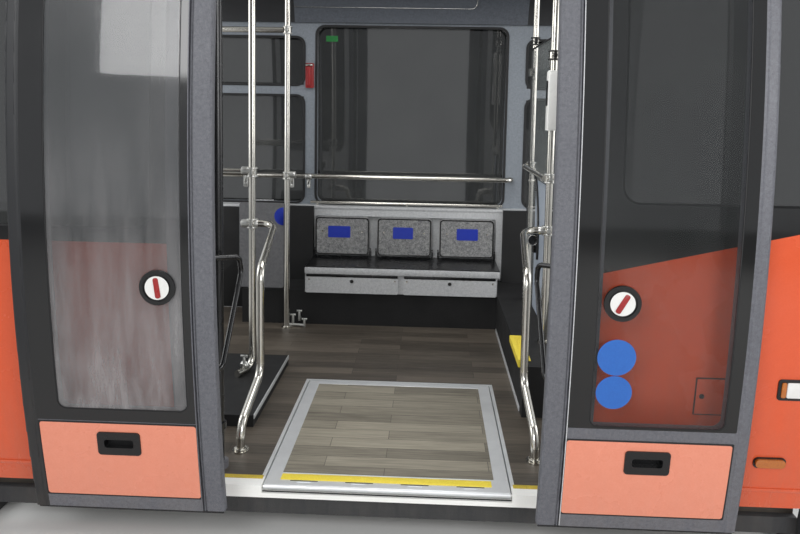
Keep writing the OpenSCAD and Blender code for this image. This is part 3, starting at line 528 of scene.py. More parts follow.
FINISHES = (
    Finish(Slot.ORANGE, (216, 80, 36), (224, 90, 46), 0.006, 0.5, 0.02, 0.26, coat=0.35, dust=0.7,
           dust_top=0.78, dust_colour=(180, 102, 76)),
    Finish(Slot.CHASSIS, (34, 35, 38), (46, 48, 51), 0.004, 0.8, 0.2, 0.55, dust=0.12, dust_top=0.3),
    Finish(Slot.BAND, (9, 9, 11), (13, 13, 15), 0.004, 0.5, 0.01, 0.12, coat=0.4),
    Finish(Slot.STEEL_BLACK, (12, 12, 13), (22, 22, 24), 0.003, 0.5, 0.05, 0.28),
    Finish(Slot.LINING, (214, 215, 216), (176, 178, 180), 0.0035, 0.9, 0.2, 0.45),
    Finish(Slot.TRIM, (70, 75, 82), (50, 53, 58), 0.0035, 0.9, 0.25, 0.6),
    Finish(Slot.LEAF, (112, 113, 120), (80, 81, 87), 0.0024, 0.9, 0.2, 0.5, dust=0.2),
    Finish(Slot.RUBBER, (112, 113, 119), (80, 81, 87), 0.0022, 0.9, 0.25, 0.62),
    Finish(Slot.WHITE, (236, 236, 233), (228, 228, 225), 0.004, 0.4, 0.05, 0.3),
    Finish(Slot.SEAT, (176, 176, 174), (84, 85, 90), 0.004, 1.0, 0.3, 0.65),
    MetalFinish(Slot.STEEL, (204, 201, 193), 0.14, streaks=0.04, smears=(176, 174, 168), bump=0.006),
    MetalFinish(Slot.ALUMINIUM, (232, 234, 235), 0.3, "X", 0.14, (188, 190, 193), 0.55),
    GlassFinish(Slot.GLASS, (10, 15, 15), 0.82),
    GlassFinish(Slot.CLEAR, (190, 200, 200), 0.12),
    # Floor covering: its dark tones are partly painted shade of the cabin, darker than the ramp's copy of it.
    PlankFinish(Slot.FLOOR, (42, 38, 33), (112, 103, 92)),
    LampFinish(Slot.LAMP, (240, 240, 236), 0.6),
    Finish(Slot.AMBER, (164, 80, 5), (196, 116, 26), 0.006, 0.5, 0.05, 0.18, coat=0.8),
    Finish(Extra.BORDER, (12, 12, 14), (17, 17, 19), 0.004, 0.4, 0.01, 0.12, coat=0.3),
    Finish(Extra.SEAL, (14, 14, 15), (24, 24, 26), 0.002, 0.8, 0.2, 0.65),
    Finish(Extra.BLUE, (26, 92, 178), (34, 104, 190), 0.006, 0.5, 0.02, 0.35, coat=0.3),
    Finish(Extra.NAVY, (24, 46, 166), (36, 62, 182), 0.004, 0.6, 0.02, 0.4),
    Finish(Extra.GREEN, (40, 128, 62), (56, 146, 78), 0.006, 0.5, 0.02, 0.35),
    Finish(Extra.FILM, (176, 186, 198), (164, 174, 188), 0.006, 0.6, 0.02, 0.4),
    Finish(Extra.YELLOW, (252, 230, 84), (238, 212, 66), 0.005, 0.8, 0.15, 0.5, patches=0.3),
    Finish(Extra.OCHRE, (212, 186, 60), (184, 160, 56), 0.005, 0.9, 0.15, 0.55, patches=0.3),
    Finish(Extra.RED, (140, 22, 24), (164, 32, 32), 0.005, 0.5, 0.05, 0.3, coat=0.3),
    # Rear leaf frame: the near-black beyond 1.131 m is painted shade on its outer rubber edge.
    Finish(Extra.LEAF_DARK, (112, 113, 120), (80, 81, 87), 0.0024, 0.9, 0.2, 0.5, dust=0.2,
           dark_beyond=1.131),
    Finish(Extra.SALMON, (236, 150, 124), (228, 138, 110), 0.006, 0.6, 0.03, 0.3, coat=0.3, dust=0.15,
           dust_top=0.5),
    Finish(Extra.SILL, (252, 252, 248), (244, 244, 240), 0.004, 0.6, 0.05, 0.4, patches=0.2),
    # Near-black of the bench box, the rear plinth and the front platform: partly their dark trim colour,
    # partly painted shade low in the cabin; also the painted-shade sheet behind the rear screen.
    Finish(Extra.KICK, (8, 8, 9), (13, 13, 14), 0.0035, 0.8, 0.2, 0.7),
    Finish(Extra.COVE, (92, 97, 106), (66, 70, 77), 0.003, 0.9, 0.2, 0.55, dark_beyond=0.76),
    Finish(Extra.SCREEN, (124, 124, 126), (88, 89, 92), 0.0035, 0.9, 0.2, 0.5),
    Finish(Extra.PILLAR, (146, 153, 161), (112, 118, 125), 0.0026, 0.9, 0.2, 0.5),
    Finish(Extra.CAST, (206, 206, 202), (178, 178, 175), 0.0016, 0.6, 0.08, 0.3, metallic=0.75),
    # Leaf panes: the even veil is painted reflection, and the rear pane's strong pale haze is dust and
    # painted reflection.
    GlassFinish(Extra.PANE, (46, 52, 53), 0.16, veil=0.03),
    GlassFinish(Extra.HAZY, (52, 58, 60), 0.34, haze=0.42, haze_colour=(196, 192, 193), veil=0.05),
    # Lighter copy of the floor covering on the ramp: painted light falling in from the front.
    PlankFinish(Extra.MAT, (78, 73, 64), (172, 165, 148)),
    MetalFinish(Extra.CHROME, (216, 216, 214), 0.1),
)


@dataclass(frozen=True)
class Camera:
    """The photograph's viewpoint, with the principal point off the middle as in the photograph."""

    place: Point = (0.144, -2.294, 1.541)
    yaw: float = -2.14
    pitch: float = 5.02
    roll: float = 1.05
    focal_pixels: float = 680.0
    picture: tuple[int, int] = (800, 534)
    principal_pixel: tuple[float, float] = (404.2, 170.0)

    def build(self) -> None:
        """Adds the camera and makes it the scene's own."""
        yaw, pitch, roll = (math.radians(angle) for angle in (self.yaw, self.pitch, self.roll))
        ahead = Vector((math.sin(yaw) * math.cos(pitch), math.cos(yaw) * math.cos(pitch), -math.sin(pitch)))
        level_right = ahead.cross(Vector((0, 0, 1))).normalized()
        level_up = level_right.cross(ahead)
        right = level_right * math.cos(roll) + level_up * math.sin(roll)
        up = level_up * math.cos(roll) - level_right * math.sin(roll)
        data = bpy.data.cameras.new("Photograph view")
        data.sensor_width = 36.0
        data.lens = data.sensor_width * self.focal_pixels / self.picture[0]
        data.shift_x = (self.picture[0] / 2 - self.principal_pixel[0]) / self.picture[0]
        data.shift_y = (self.principal_pixel[1] - self.picture[1] / 2) / self.picture[0]
        camera = bpy.data.objects.new("Photograph view", data)
        bpy.context.scene.collection.objects.link(camera)
        turned = Matrix((right, up, -ahead)).transposed().to_4x4()
        camera.matrix_world = Matrix.Translation(self.place) @ turned
        bpy.context.scene.camera = camera


@dataclass(frozen=True)
class Studio:
    """Pale floor, soft lamps and an even world."""

    floor_size: float = 14.0
    floor_colour: Colour = (214, 214, 212)
    unlit: tuple[str, ...] = ("near_glass", "leaf_glass_front", "window_frame_front", "pane_border_front",
                              "pane_line_near_front")

    def lamp(self, name: str, place: Point, target: Point, size: float, power: float) -> None:
        """Adds a soft square lamp.

        Args:
            name: The lamp's name.
            place: Where it stands.
            target: The point that it faces.
            size: Its side in metres.
            power: Its power in watts.
        """
        data = bpy.data.lights.new(name, "AREA")
        data.size = size
        data.energy = power
        lamp = bpy.data.objects.new(name, data)
        bpy.context.scene.collection.objects.link(lamp)
        lamp.location = place
        lamp.rotation_euler = (Vector(target) - Vector(place)).to_track_quat("-Z", "Y").to_euler()

    def floor(self) -> None:
        """Adds the pale floor that the bay stands on."""
        deselect()
        bpy.ops.mesh.primitive_plane_add(size=self.floor_size, location=(0, 1, -0.002))
        floor = settle("studio_floor")
        material, g, shader = new_material("studio_floor")
        speckle = EFFECTS.place(g, Effect.SPECKLE, Size=0.01, Contrast=0.3)
        colour = g.mix(speckle["Mask"], linear(self.floor_colour), linear((222, 222, 220)))
        g.feed(shader, {"Base Color": colour, "Roughness": 0.6})
        floor.data.materials.append(material)

    def world(self) -> None:
        """Sets an even world that shows pale to the camera, in gloss and through glass."""
        world = bpy.data.worlds.new("Studio")
        world.use_nodes = True
        bpy.context.scene.world = world
        g = Graph(world.node_tree)
        background = world.node_tree.nodes["Background"]
        path = g.add("LightPath").outputs
        seen = g.math("MAXIMUM", path["Is Camera Ray"], path["Is Transmission Ray"])
        seen = g.math("MAXIMUM", seen, path["Is Glossy Ray"])
        strength = g.math("MULTIPLY_ADD", seen, 0.5, 0.36)
        g.feed(background, {"Color": (0.86, 0.88, 0.9, 1), "Strength": strength})

    def spare(self) -> None:
        """Keeps the front lamps from being mirrored in the front panes as bright squares."""
        group = bpy.data.collections.new("Panes that mirror no lamp")
        for name in self.unlit:
            group.objects.link(bpy.data.objects[name])
        for entry in group.collection_objects:
            entry.light_linking.link_state = "EXCLUDE"
        for name in ("Front lamp", "Front fill"):
            bpy.data.objects[name].light_linking.receiver_collection = group

    def build(self) -> None:
        """Builds the whole studio."""
        self.floor()
        self.world()
        self.lamp("Front lamp", (-1.6, -4.2, 3.4), (0, 0.4, 1.1), 2.4, 125)
        self.lamp("Front fill", (2.6, -3.6, 2.2), (0.2, 0.6, 1.0), 2.0, 78)
        self.lamp("Cabin lamp", (0, 1.0, 2.4), (0, 1.0, 0), 1.2, 15)
        self.lamp("Rear-end lamp", (-3.4, 1.1, 2.0), (0, 1.1, 0.8), 1.8, 30)
        self.lamp("Front-end lamp", (3.4, 1.1, 2.0), (0, 1.1, 0.8), 1.8, 30)
        self.lamp("Far lamp", (0.8, 5.2, 3.0), (0, 2.3, 1.2), 2.2, 110)


def deselect() -> None:
    """Leaves nothing selected, so that the next operator acts on its own piece only."""
    if bpy.context.object and bpy.context.object.mode != "OBJECT":
        bpy.ops.object.mode_set(mode="OBJECT")
    bpy.ops.object.select_all(action="DESELECT")


def pick(piece: Piece) -> None:
    """Makes a piece the active one and the only one selected.

    Args:
        piece: The piece.
    """
    deselect()
    piece.select_set(True)
    bpy.context.view_layer.objects.active = piece


def settle(name: str) -> Piece:
    """Names the active piece and puts its place, turn and size into its mesh.

    Args:
        name: The piece's name.

    Returns:
        The piece.
    """
    piece = bpy.context.object
    piece.name = name
    piece.data.name = name
    bpy.ops.object.transform_apply(location=True, rotation=True, scale=True)
    return piece


class Axis(Enum):
    """Axis that a plate is thin along, by its number."""

    X = 0
    Y = 1
    Z = 2


def select_parts(piece: Piece, kind: str, test: Callable) -> None:
    """Selects the edges or faces that pass a test and leaves the piece in edit mode.

    Args:
        piece: The piece.
        kind: Either edges or polygons.
        test: For edges it takes the two ends, for polygons the centre and the normal.
    """
    if piece.mode != "OBJECT":
        bpy.ops.object.mode_set(mode="OBJECT")
    mesh = piece.data
    for parts in (mesh.vertices, mesh.edges, mesh.polygons):
        parts.foreach_set("select", [False] * len(parts))
    for part in getattr(mesh, kind):
        if kind == "edges":
            part.select = test(*(mesh.vertices[i].co for i in part.vertices))
        else:
            part.select = test(part.center, part.normal)
    bpy.context.tool_settings.mesh_select_mode = (False, kind == "edges", kind == "polygons")
    bpy.ops.object.mode_set(mode="EDIT")


def soften(piece: Piece, rim: float) -> None:
    """Rounds a piece's sharp edges and smooths its shading.

    Args:
        piece: The piece, which is the active one.
        rim: Width of the rounding, or 0 for none.
    """
    if piece.mode != "OBJECT":
        bpy.ops.object.mode_set(mode="OBJECT")
    if rim > 0:
        bevel = piece.modifiers.new("Rim", "BEVEL")
        bevel.width = rim
        bevel.segments = 2
        bevel.limit_method = "ANGLE"
        bevel.angle_limit = SHARP
        bpy.ops.object.modifier_apply(modifier=bevel.name)
    bpy.ops.object.shade_smooth_by_angle(angle=SMOOTH)


def plate(name: str, low: Point, high: Point, thin: Axis, corner: float = 0.0, rim: float = 0.0) -> Piece:
    """Models a plate with round corners and softened rims.

    Args:
        name: The piece's name.
        low: Its lowest corner.
        high: Its highest corner.
        thin: The axis that its thickness runs along.
        corner: Radius of its four corners.
        rim: Width of the rounding along its rims.

    Returns:
        The plate.
    """
    deselect()
    size = Vector(high) - Vector(low)
    bpy.ops.mesh.primitive_cube_add(size=1, location=(Vector(low) + Vector(high)) / 2, scale=size)
    piece = settle(name)
    if corner > 0:
        through = size[thin.value] / 2
        select_parts(piece, "edges", lambda a, b: abs(a[thin.value] - b[thin.value]) > through)
        bpy.ops.mesh.bevel(offset=corner, segments=6, affect="EDGES")
    soften(piece, rim)
    return piece


def disc(name: str, centre: Point, facing: Point, radius: float, thick: float, rim: float = 0.0,
         dish: tuple[float, float] = (0.0, 0.0), sides: int = 40) -> Piece:
    """Models a round piece, dished where asked.

    Args:
        name: The piece's name.
        centre: The middle of its thickness.
        facing: The direction that its front points in.
        radius: Its radius.
        thick: Its thickness.
        rim: Width of the rounding along its rim.
        dish: Width of the flat rim round the dish, and the dish's depth.
        sides: Number of sides.

    Returns:
        The disc.
    """
    deselect()
    ahead = Vector(facing).normalized()
    turned = ahead.to_track_quat("Z", "Y").to_euler()
    bpy.ops.mesh.primitive_cylinder_add(
        vertices=sides, radius=radius, depth=thick, location=centre, rotation=turned)
    piece = settle(name)
    if dish[1] > 0:
        select_parts(piece, "polygons", lambda middle, normal: normal.dot(ahead) > 0.9)
        bpy.ops.mesh.inset(thickness=dish[0])
        bpy.ops.transform.translate(value=ahead * -dish[1])
    soften(piece, rim)
    return piece


def rod(name: str, points: list[Point], radius: float) -> Piece:
    """Models a thin round rod through a list of points.

    Args:
        name: The piece's name.
        points: The points that it runs through.
        radius: Its radius.

    Returns:
        The rod, as a mesh with closed ends.
    """
    curve = bpy.data.curves.new(name, "CURVE")
    curve.dimensions = "3D"
    curve.bevel_depth = radius
    curve.bevel_resolution = 3
    curve.use_fill_caps = True
    spline = curve.splines.new("POLY")
    spline.points.add(len(points) - 1)
    for point, place in zip(spline.points, points):
        point.co = (*place, 1.0)
    piece = bpy.data.objects.new(name, curve)
    bpy.context.scene.collection.objects.link(piece)
    pick(piece)
    bpy.ops.object.convert(target="MESH")
    piece = settle(name)
    bpy.ops.object.shade_smooth_by_angle(angle=SHARP)
    return piece


def cut_out(piece: Piece, cutter: Piece) -> Piece:
    """Takes the cutter's shape out of a piece and removes the cutter.

    Args:
        piece: The piece that is cut.
        cutter: The shape that is taken out.

    Returns:
        The piece that is left.
    """
    pick(piece)
    cut = piece.modifiers.new("Opening", "BOOLEAN")
    cut.operation = "DIFFERENCE"
    cut.object = cutter
    bpy.ops.object.modifier_apply(modifier=cut.name)
    bpy.data.objects.remove(cutter)
    return piece


@dataclass(frozen=True)
class Wall:
    """The curve of a side wall, seen from the end of the bay."""

    radius: float = 5.7
    widest: float = 1.3
    skin: float = -0.15
    middle: float = 1.1
    level: float = 0.06

    def y(self, z: float, depth: float = 0.0) -> float:
        """Place of the near wall across the bus at a height, moved inwards by a depth."""
        return self.skin + self.radius - math.sqrt((self.radius - depth) ** 2 - (z - self.widest) ** 2)

    def outward(self, z: float) -> Vector:
        """Direction in which the near wall faces at a height."""
        rise = (z - self.widest) / self.radius
        return Vector((0, -math.sqrt(1 - rise * rise), rise))

    def point(self, x: float, z: float, proud: float, shift: float = 0.0) -> Vector:
        """Point on the near wall's skin, moved outwards, and then shifted across the bus."""
        return Vector((x, self.y(z) + shift, z)) + self.outward(z) * proud

    def wrap(self, piece: Piece, shift: float = 0.0, far: bool = False) -> None:
        """Cuts a flat piece into levels and moves each level onto the wall's curve.

        Args:
            piece: A piece that is modelled flat, with the skin at Y = 0 and its depth along +Y.
            shift: How far the wall's curve is moved across the bus.
            far: Whether the piece belongs on the far wall.
        """
        pick(piece)
        heights = [vertex.co.z for vertex in piece.data.vertices]
        low, high = min(heights), max(heights)
        bpy.ops.object.mode_set(mode="EDIT")
        for i in range(1, int((high - low) / self.level) + 1):
            bpy.ops.mesh.select_all(action="SELECT")
            bpy.ops.mesh.bisect(plane_co=(0, 0, low + i * self.level), plane_no=(0, 0, 1))
        bpy.ops.object.mode_set(mode="OBJECT")
        for vertex in piece.data.vertices:
            vertex.co.y += self.y(vertex.co.z) + shift
            if far:
                vertex.co.y = 2 * self.middle - vertex.co.y
        if far:
            bpy.ops.object.mode_set(mode="EDIT")
            bpy.ops.mesh.select_all(action="SELECT")
            bpy.ops.mesh.normals_make_consistent(inside=False)
            bpy.ops.object.mode_set(mode="OBJECT")
        bpy.ops.object.shade_smooth_by_angle(angle=SMOOTH)


WALL = Wall()
# Height of the cabin's floor above the road.
FLOOR = 0.2
# Directions that discs face in.
FACING_DOOR, FACING_FAR, ALONG, UP = (0, -1, 0), (0, 1, 0), (1, 0, 0), (0, 0, 1)
# Dish of a plain disc and of a screw's head, and the number of sides of a thin pin.
PLAIN, HEAD, FEW_SIDES = (0.0, 0.0), (0.0025, 0.001), 20
MATERIALS: dict[Slot | Extra, bpy.types.Material] = {}
NEAR_WINDOWS = {"rear": ((-1.414, -0.75), (1.141, 2.229)), "front": ((0.75, 1.414), (1.258, 2.229))}
FAR_WINDOWS = {
    "main": ((-0.615, 0.635), (0.91, 2.08)), "rear_low": ((-1.4, -0.703), (0.91, 1.623)),
    "front_low": ((0.77, 1.4), (0.91, 1.623)), "rear_high": ((-1.4, -0.703), (1.696, 2.007)),
    "front_high": ((0.77, 1.4), (1.696, 2.007)),
}


def fit(piece: Piece, finish: Slot | Extra, body: Body = Body.BAY) -> None:
    """Gives a piece its finish and lets it ride on a body.

    Args:
        piece: The piece.
        finish: Its finish.
        body: The body that carries it.
    """
    piece.data.materials.clear()
    piece.data.materials.append(MATERIALS[finish])
    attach(piece, body.value)
    LOG.info("fitted %s", piece.name)


def fit_on_wall(piece: Piece, finish: Slot | Extra, far: bool = False) -> None:
    """Bends a flat piece onto the near or the far wall and fits it."""
    WALL.wrap(piece, far=far)
    fit(piece, finish)


def grown(window: Window, margin: float) -> Window:
    """Moves all four edges of an outline outwards, or inwards where the margin is negative."""
    (x0, x1), (z0, z1) = window
    return (x0 - margin, x1 + margin), (z0 - margin, z1 + margin)


def border(name: str, outer: Window, inner: Window, depth: Span, corner: float = 0.03,
           outer_corner: float = 0.004) -> Piece:
    """Models a flat frame between an outer outline and a round-cornered opening.

    Args:
        name: The piece's name.
        outer: Its outer outline, along the bus and upwards.
        inner: Its opening, along the bus and upwards.
        depth: Its outer and inner faces, along Y.
        corner: Radius of the opening's corners.
        outer_corner: Radius of the outer corners.

    Returns:
        The frame.
    """
    (x0, x1), (z0, z1) = outer
    frame = plate(name, (x0, depth[0], z0), (x1, depth[1], z1), Axis.Y, outer_corner)
    (x0, x1), (z0, z1) = inner
    opening = plate(name + "_opening", (x0, depth[0] - 0.01, z0), (x1, depth[1] + 0.01, z1), Axis.Y, corner)
    return cut_out(frame, opening)


def ring(name: str, centre: Point, facing: Point, radius: float, bore: float, thick: float,
         rim: float) -> Piece:
    """Models a round piece with a bore; what it takes is as for disc(), with the bore's radius."""
    outer = disc(name, centre, facing, radius, thick, rim)
    return cut_out(outer, disc(name + "_bore", centre, facing, bore, thick + 0.02))


@dataclass(frozen=True)
class LeafDress:
    """Fitted pieces of one door leaf. Places along the leaf run outwards from its middle."""

    side: int
    body: Body
    pane: Span
    knob: tuple[float, float]
    bar_lean: float
    stickers: tuple[tuple[float, float, float], ...] = ()
    middle: float = 0.853
    out: float = 0.084
    strip_edge: float = -0.2535
    tube_edge: float = 0.2815
    foot: Span = (-0.322, 0.318)
    panel: Span = (-0.2515, 0.2755)
    panel_z: Span = (0.221, 0.497)
    pane_z: Span = (0.546, 2.165)
    top: float = 2.269
    low: float = 0.17
    knob_face: float = 0.0063
    handle: float = -0.2355
    handle_heights: tuple[float, float] = (0.440, 0.815)

    @property
    def end(self) -> str:
        """Name of the leaf's end of the doorway."""
        return "rear" if self.side < 0 else "front"

    def x(self, along: float) -> float:
        """Place along the bus of a point on the leaf."""
        return self.side * (self.middle + along)

    def span(self, first: float, last: float) -> Span:
        """Places along the bus of two points on the leaf, the lower one first."""
        return tuple(sorted((self.x(first), self.x(last))))

    def lay(self, piece: Piece, finish: Slot | Extra) -> None:
        """Bends a flat piece onto the open leaf and fits it."""
        WALL.wrap(piece, -self.out)
        fit(piece, finish, self.body)

    def frames(self) -> None:
        """Black border printed round the pane, the pane's rubber line, and the lower panel's joint."""
        pane = self.span(*self.pane), self.pane_z
        (a, b), (low, high) = self.panel, self.panel_z
        foot = self.pane_z[0] - 0.005 if self.side > 0 else high + 0.008
        sheet = self.span(self.strip_edge + 0.0015, self.tube_edge - 0.0015), (foot, self.top - 0.003)
        joint = self.span(a - 0.003, b + 0.003), (low - 0.003, high + 0.004)
        gap = grown((self.span(a, b), self.panel_z), -0.0015)
        for name, outer, inner, depth, corner, outer_corner, finish in (
            ("pane_border", sheet, pane, (0.0002, 0.0017), 0.03, 0.004, Extra.BORDER),
            ("pane_seal", grown(pane, 0.0002), grown(pane, -0.004), (0.0009, 0.0028), 0.026, 0.03,
             Extra.SEAL),
            ("panel_joint", joint, gap, (0.0006, 0.0026), 0.009, 0.004, Extra.SEAL),
        ):
            self.lay(border(f"{name}_{self.end}", outer, inner, depth, corner, outer_corner), finish)

    def strips(self) -> None:
        """Fine bead along the closing strip, towards the pane, pale on the front leaf as a painted highlight,
        and a rubber lip along the foot.
        """
        x0, x1 = self.span(self.strip_edge - 0.0004, self.strip_edge + 0.0026)
        low, high = (x0, -0.00004, self.low + 0.004), (x1, 0.0014, self.top - 0.004)
        bead = plate(f"edge_line_{self.end}", low, high, Axis.Y, 0, 0.0003)
        # On the front leaf the bead's pale lining colour is a painted highlight along the strip's edge.
        self.lay(bead, Slot.LINING if self.side > 0 else Slot.LEAF)
        x0, x1 = self.span(*self.foot)
        low, high = (x0, 0.006, self.low - 0.009), (x1, 0.013, self.low + 0.0005)
        self.lay(plate(f"foot_lip_{self.end}", low, high, Axis.Y, 0, 0.001), Extra.SEAL)

    def dial(self) -> None:
        """White dial of the emergency knob, with its red bar."""
        x, z = self.x(self.knob[0]), self.knob[1] + FLOOR
        centre = WALL.point(x, z, self.knob_face - 0.0002, -self.out)
        dial = disc(f"knob_dial_{self.end}", centre, WALL.outward(z), 0.0385, 0.0016, 0.0005, (0.004, 0.0005))
        fit(dial, Slot.WHITE, self.body)
        place = WALL.point(x, z, self.knob_face + 0.0013, -self.out)
        half = Vector((0.0085, 0.0018, 0.033))
        bar = plate(f"knob_bar_{self.end}", place - half, place + half, Axis.Y, 0.007, 0.0008)
        bpy.ops.transform.rotate(value=math.radians(self.bar_lean), orient_axis="Y", center_override=place)
        bpy.ops.object.transform_apply(location=True, rotation=True, scale=True)
        fit(bar, Extra.RED, self.body)

    def blank_stickers(self) -> None:
        """Blank blue discs on the outside of the pane."""
        for i, (along, height, radius) in enumerate(self.stickers):
            z = height + FLOOR
            centre = WALL.point(self.x(along), z, -0.0022, -self.out)
            sticker = disc(f"pane_disc_{self.end}_{i}", centre, WALL.outward(z), radius, 0.0008)
            fit(sticker, Extra.BLUE, self.body)

    def handle_sleeves(self) -> None:
        """Steel sleeves where the inner handle meets the leaf."""
        for height in self.handle_heights:
            z = height + FLOOR
            centre = (self.x(self.handle), WALL.y(z, 0.04) - self.out + 0.028, z)
            name = f"handle_sleeve_{self.end}_{int(height * 1000)}"
            fit(disc(name, centre, FACING_FAR, 0.0125, 0.034, 0.002), Slot.STEEL, self.body)

    def build(self) -> None:
        """Fits every piece of the leaf."""
        for step in (self.frames, self.strips, self.dial, self.blank_stickers, self.handle_sleeves):
            step()


@dataclass(frozen=True)
class SillDress:
    """Tape, nosing and small metal pieces on the floor and the sill."""

    fixed_tape: tuple[Span, ...] = ((-0.66, -0.437), (0.468, 0.66))
    tape_z: Span = (FLOOR + 0.0002, FLOOR + 0.0014)
    slot_pitch: float = 0.2
    slot_start: float = -0.285
    slots: int = 4
    step: tuple[float, float, float, float] = (0.572, 0.67, 1.03, 0.43)
    ribs: int = 4

    def tape(self) -> None:
        """Yellow tape along the edge of the floor and on the ramp, and dark strips of painted shade for the
        gaps at the ramp's hinge edge.
        """
        low, high = self.tape_z
        for i, (x0, x1) in enumerate(self.fixed_tape):
            tape = plate(f"floor_tape_{i}", (x0, 0.0445, low), (x1, 0.0675, high), Axis.Z, 0.002, 0.0004)
            fit(tape, Extra.OCHRE)
        tape = plate("ramp_tape", (-0.372, 0.045, low), (0.392, 0.085, high), Axis.Z, 0.003, 0.0004)
        fit(tape, Extra.YELLOW, Body.RAMP)
        # Painted shade: flat dark strips for the gaps between the hinge's knuckles along the ramp's edge.
        for i in range(self.slots):
            x = self.slot_start + self.slot_pitch * i
            low, high = (x - 0.05, 0.0385, FLOOR + 0.0001), (x + 0.05, 0.0425, FLOOR + 0.0008)
            fit(plate(f"finger_slot_{i}", low, high, Axis.Z, 0.0015), Extra.SEAL, Body.RAMP)

    def ramp_mat_edge(self) -> None:
        """Bright bead round the covering on the ramp."""
        low, high = (-0.376, 0.0910, FLOOR - 0.0012), (0.406, 0.9168, FLOOR + 0.0006)
        bead = plate("ramp_mat_edge", low, high, Axis.Z, 0.002)
        low, high = (-0.3725, 0.0942, FLOOR - 0.01), (0.4025, 0.9138, FLOOR + 0.01)
        fit(cut_out(bead, plate("ramp_mat_hole", low, high, Axis.Z, 0.002)), Slot.ALUMINIUM, Body.RAMP)

    def nosing(self) -> None:
        """Ribbed yellow nosing on the step's edge, and the metal trim below it."""
        x, y0, y1, z = self.step
        low, high = (x - 0.012, y0 + 0.02, z - 0.030), (x + 0.046, y1, z + 0.004)
        piece = plate("step_nosing", low, high, Axis.Y, 0.004)
        low, high = (x - 0.0002, y0 - 0.05, z - 0.06), (x + 0.08, y1 + 0.05, z + 0.0001)
        cut_out(piece, plate("step_nosing_hole", low, high, Axis.Y))
        soften(piece, 0.001)
        fit(piece, Extra.YELLOW)
        for i in range(self.ribs):
            left = x + 0.006 + 0.010 * i
            low, high = (left, y0 + 0.024, z + 0.0035), (left + 0.004, y1 - 0.004, z + 0.0056)
            fit(plate(f"nosing_rib_{i}", low, high, Axis.Z, 0, 0.0008), Extra.YELLOW)
        low, high = (x - 0.005, y0 + 0.01, FLOOR + 0.0004), (x - 0.0003, 1.78, FLOOR + 0.022)
        fit(plate("step_skirting", low, high, Axis.X, 0, 0.001), Slot.ALUMINIUM)

    def trims(self) -> None:
        """Metal edge along the low plinth, and the dark joint between the sill and the ramp's hinge edge."""
        flat_part = plate("plinth_trim", (-0.5753, 0.445, 0.2315), (-0.5715, 1.146, 0.2522), Axis.X, 0, 0.001)
        fit(flat_part, Slot.ALUMINIUM)
        joint = plate("hinge_line", (-0.428, 0.0045, FLOOR - 0.0245), (0.458, 0.0062, FLOOR - 0.0205), Axis.Y)
        fit(joint, Extra.SEAL)

    def build(self) -> None:
        """Fits every piece."""
        for step in (self.tape, self.ramp_mat_edge, self.nosing, self.trims):
            step()


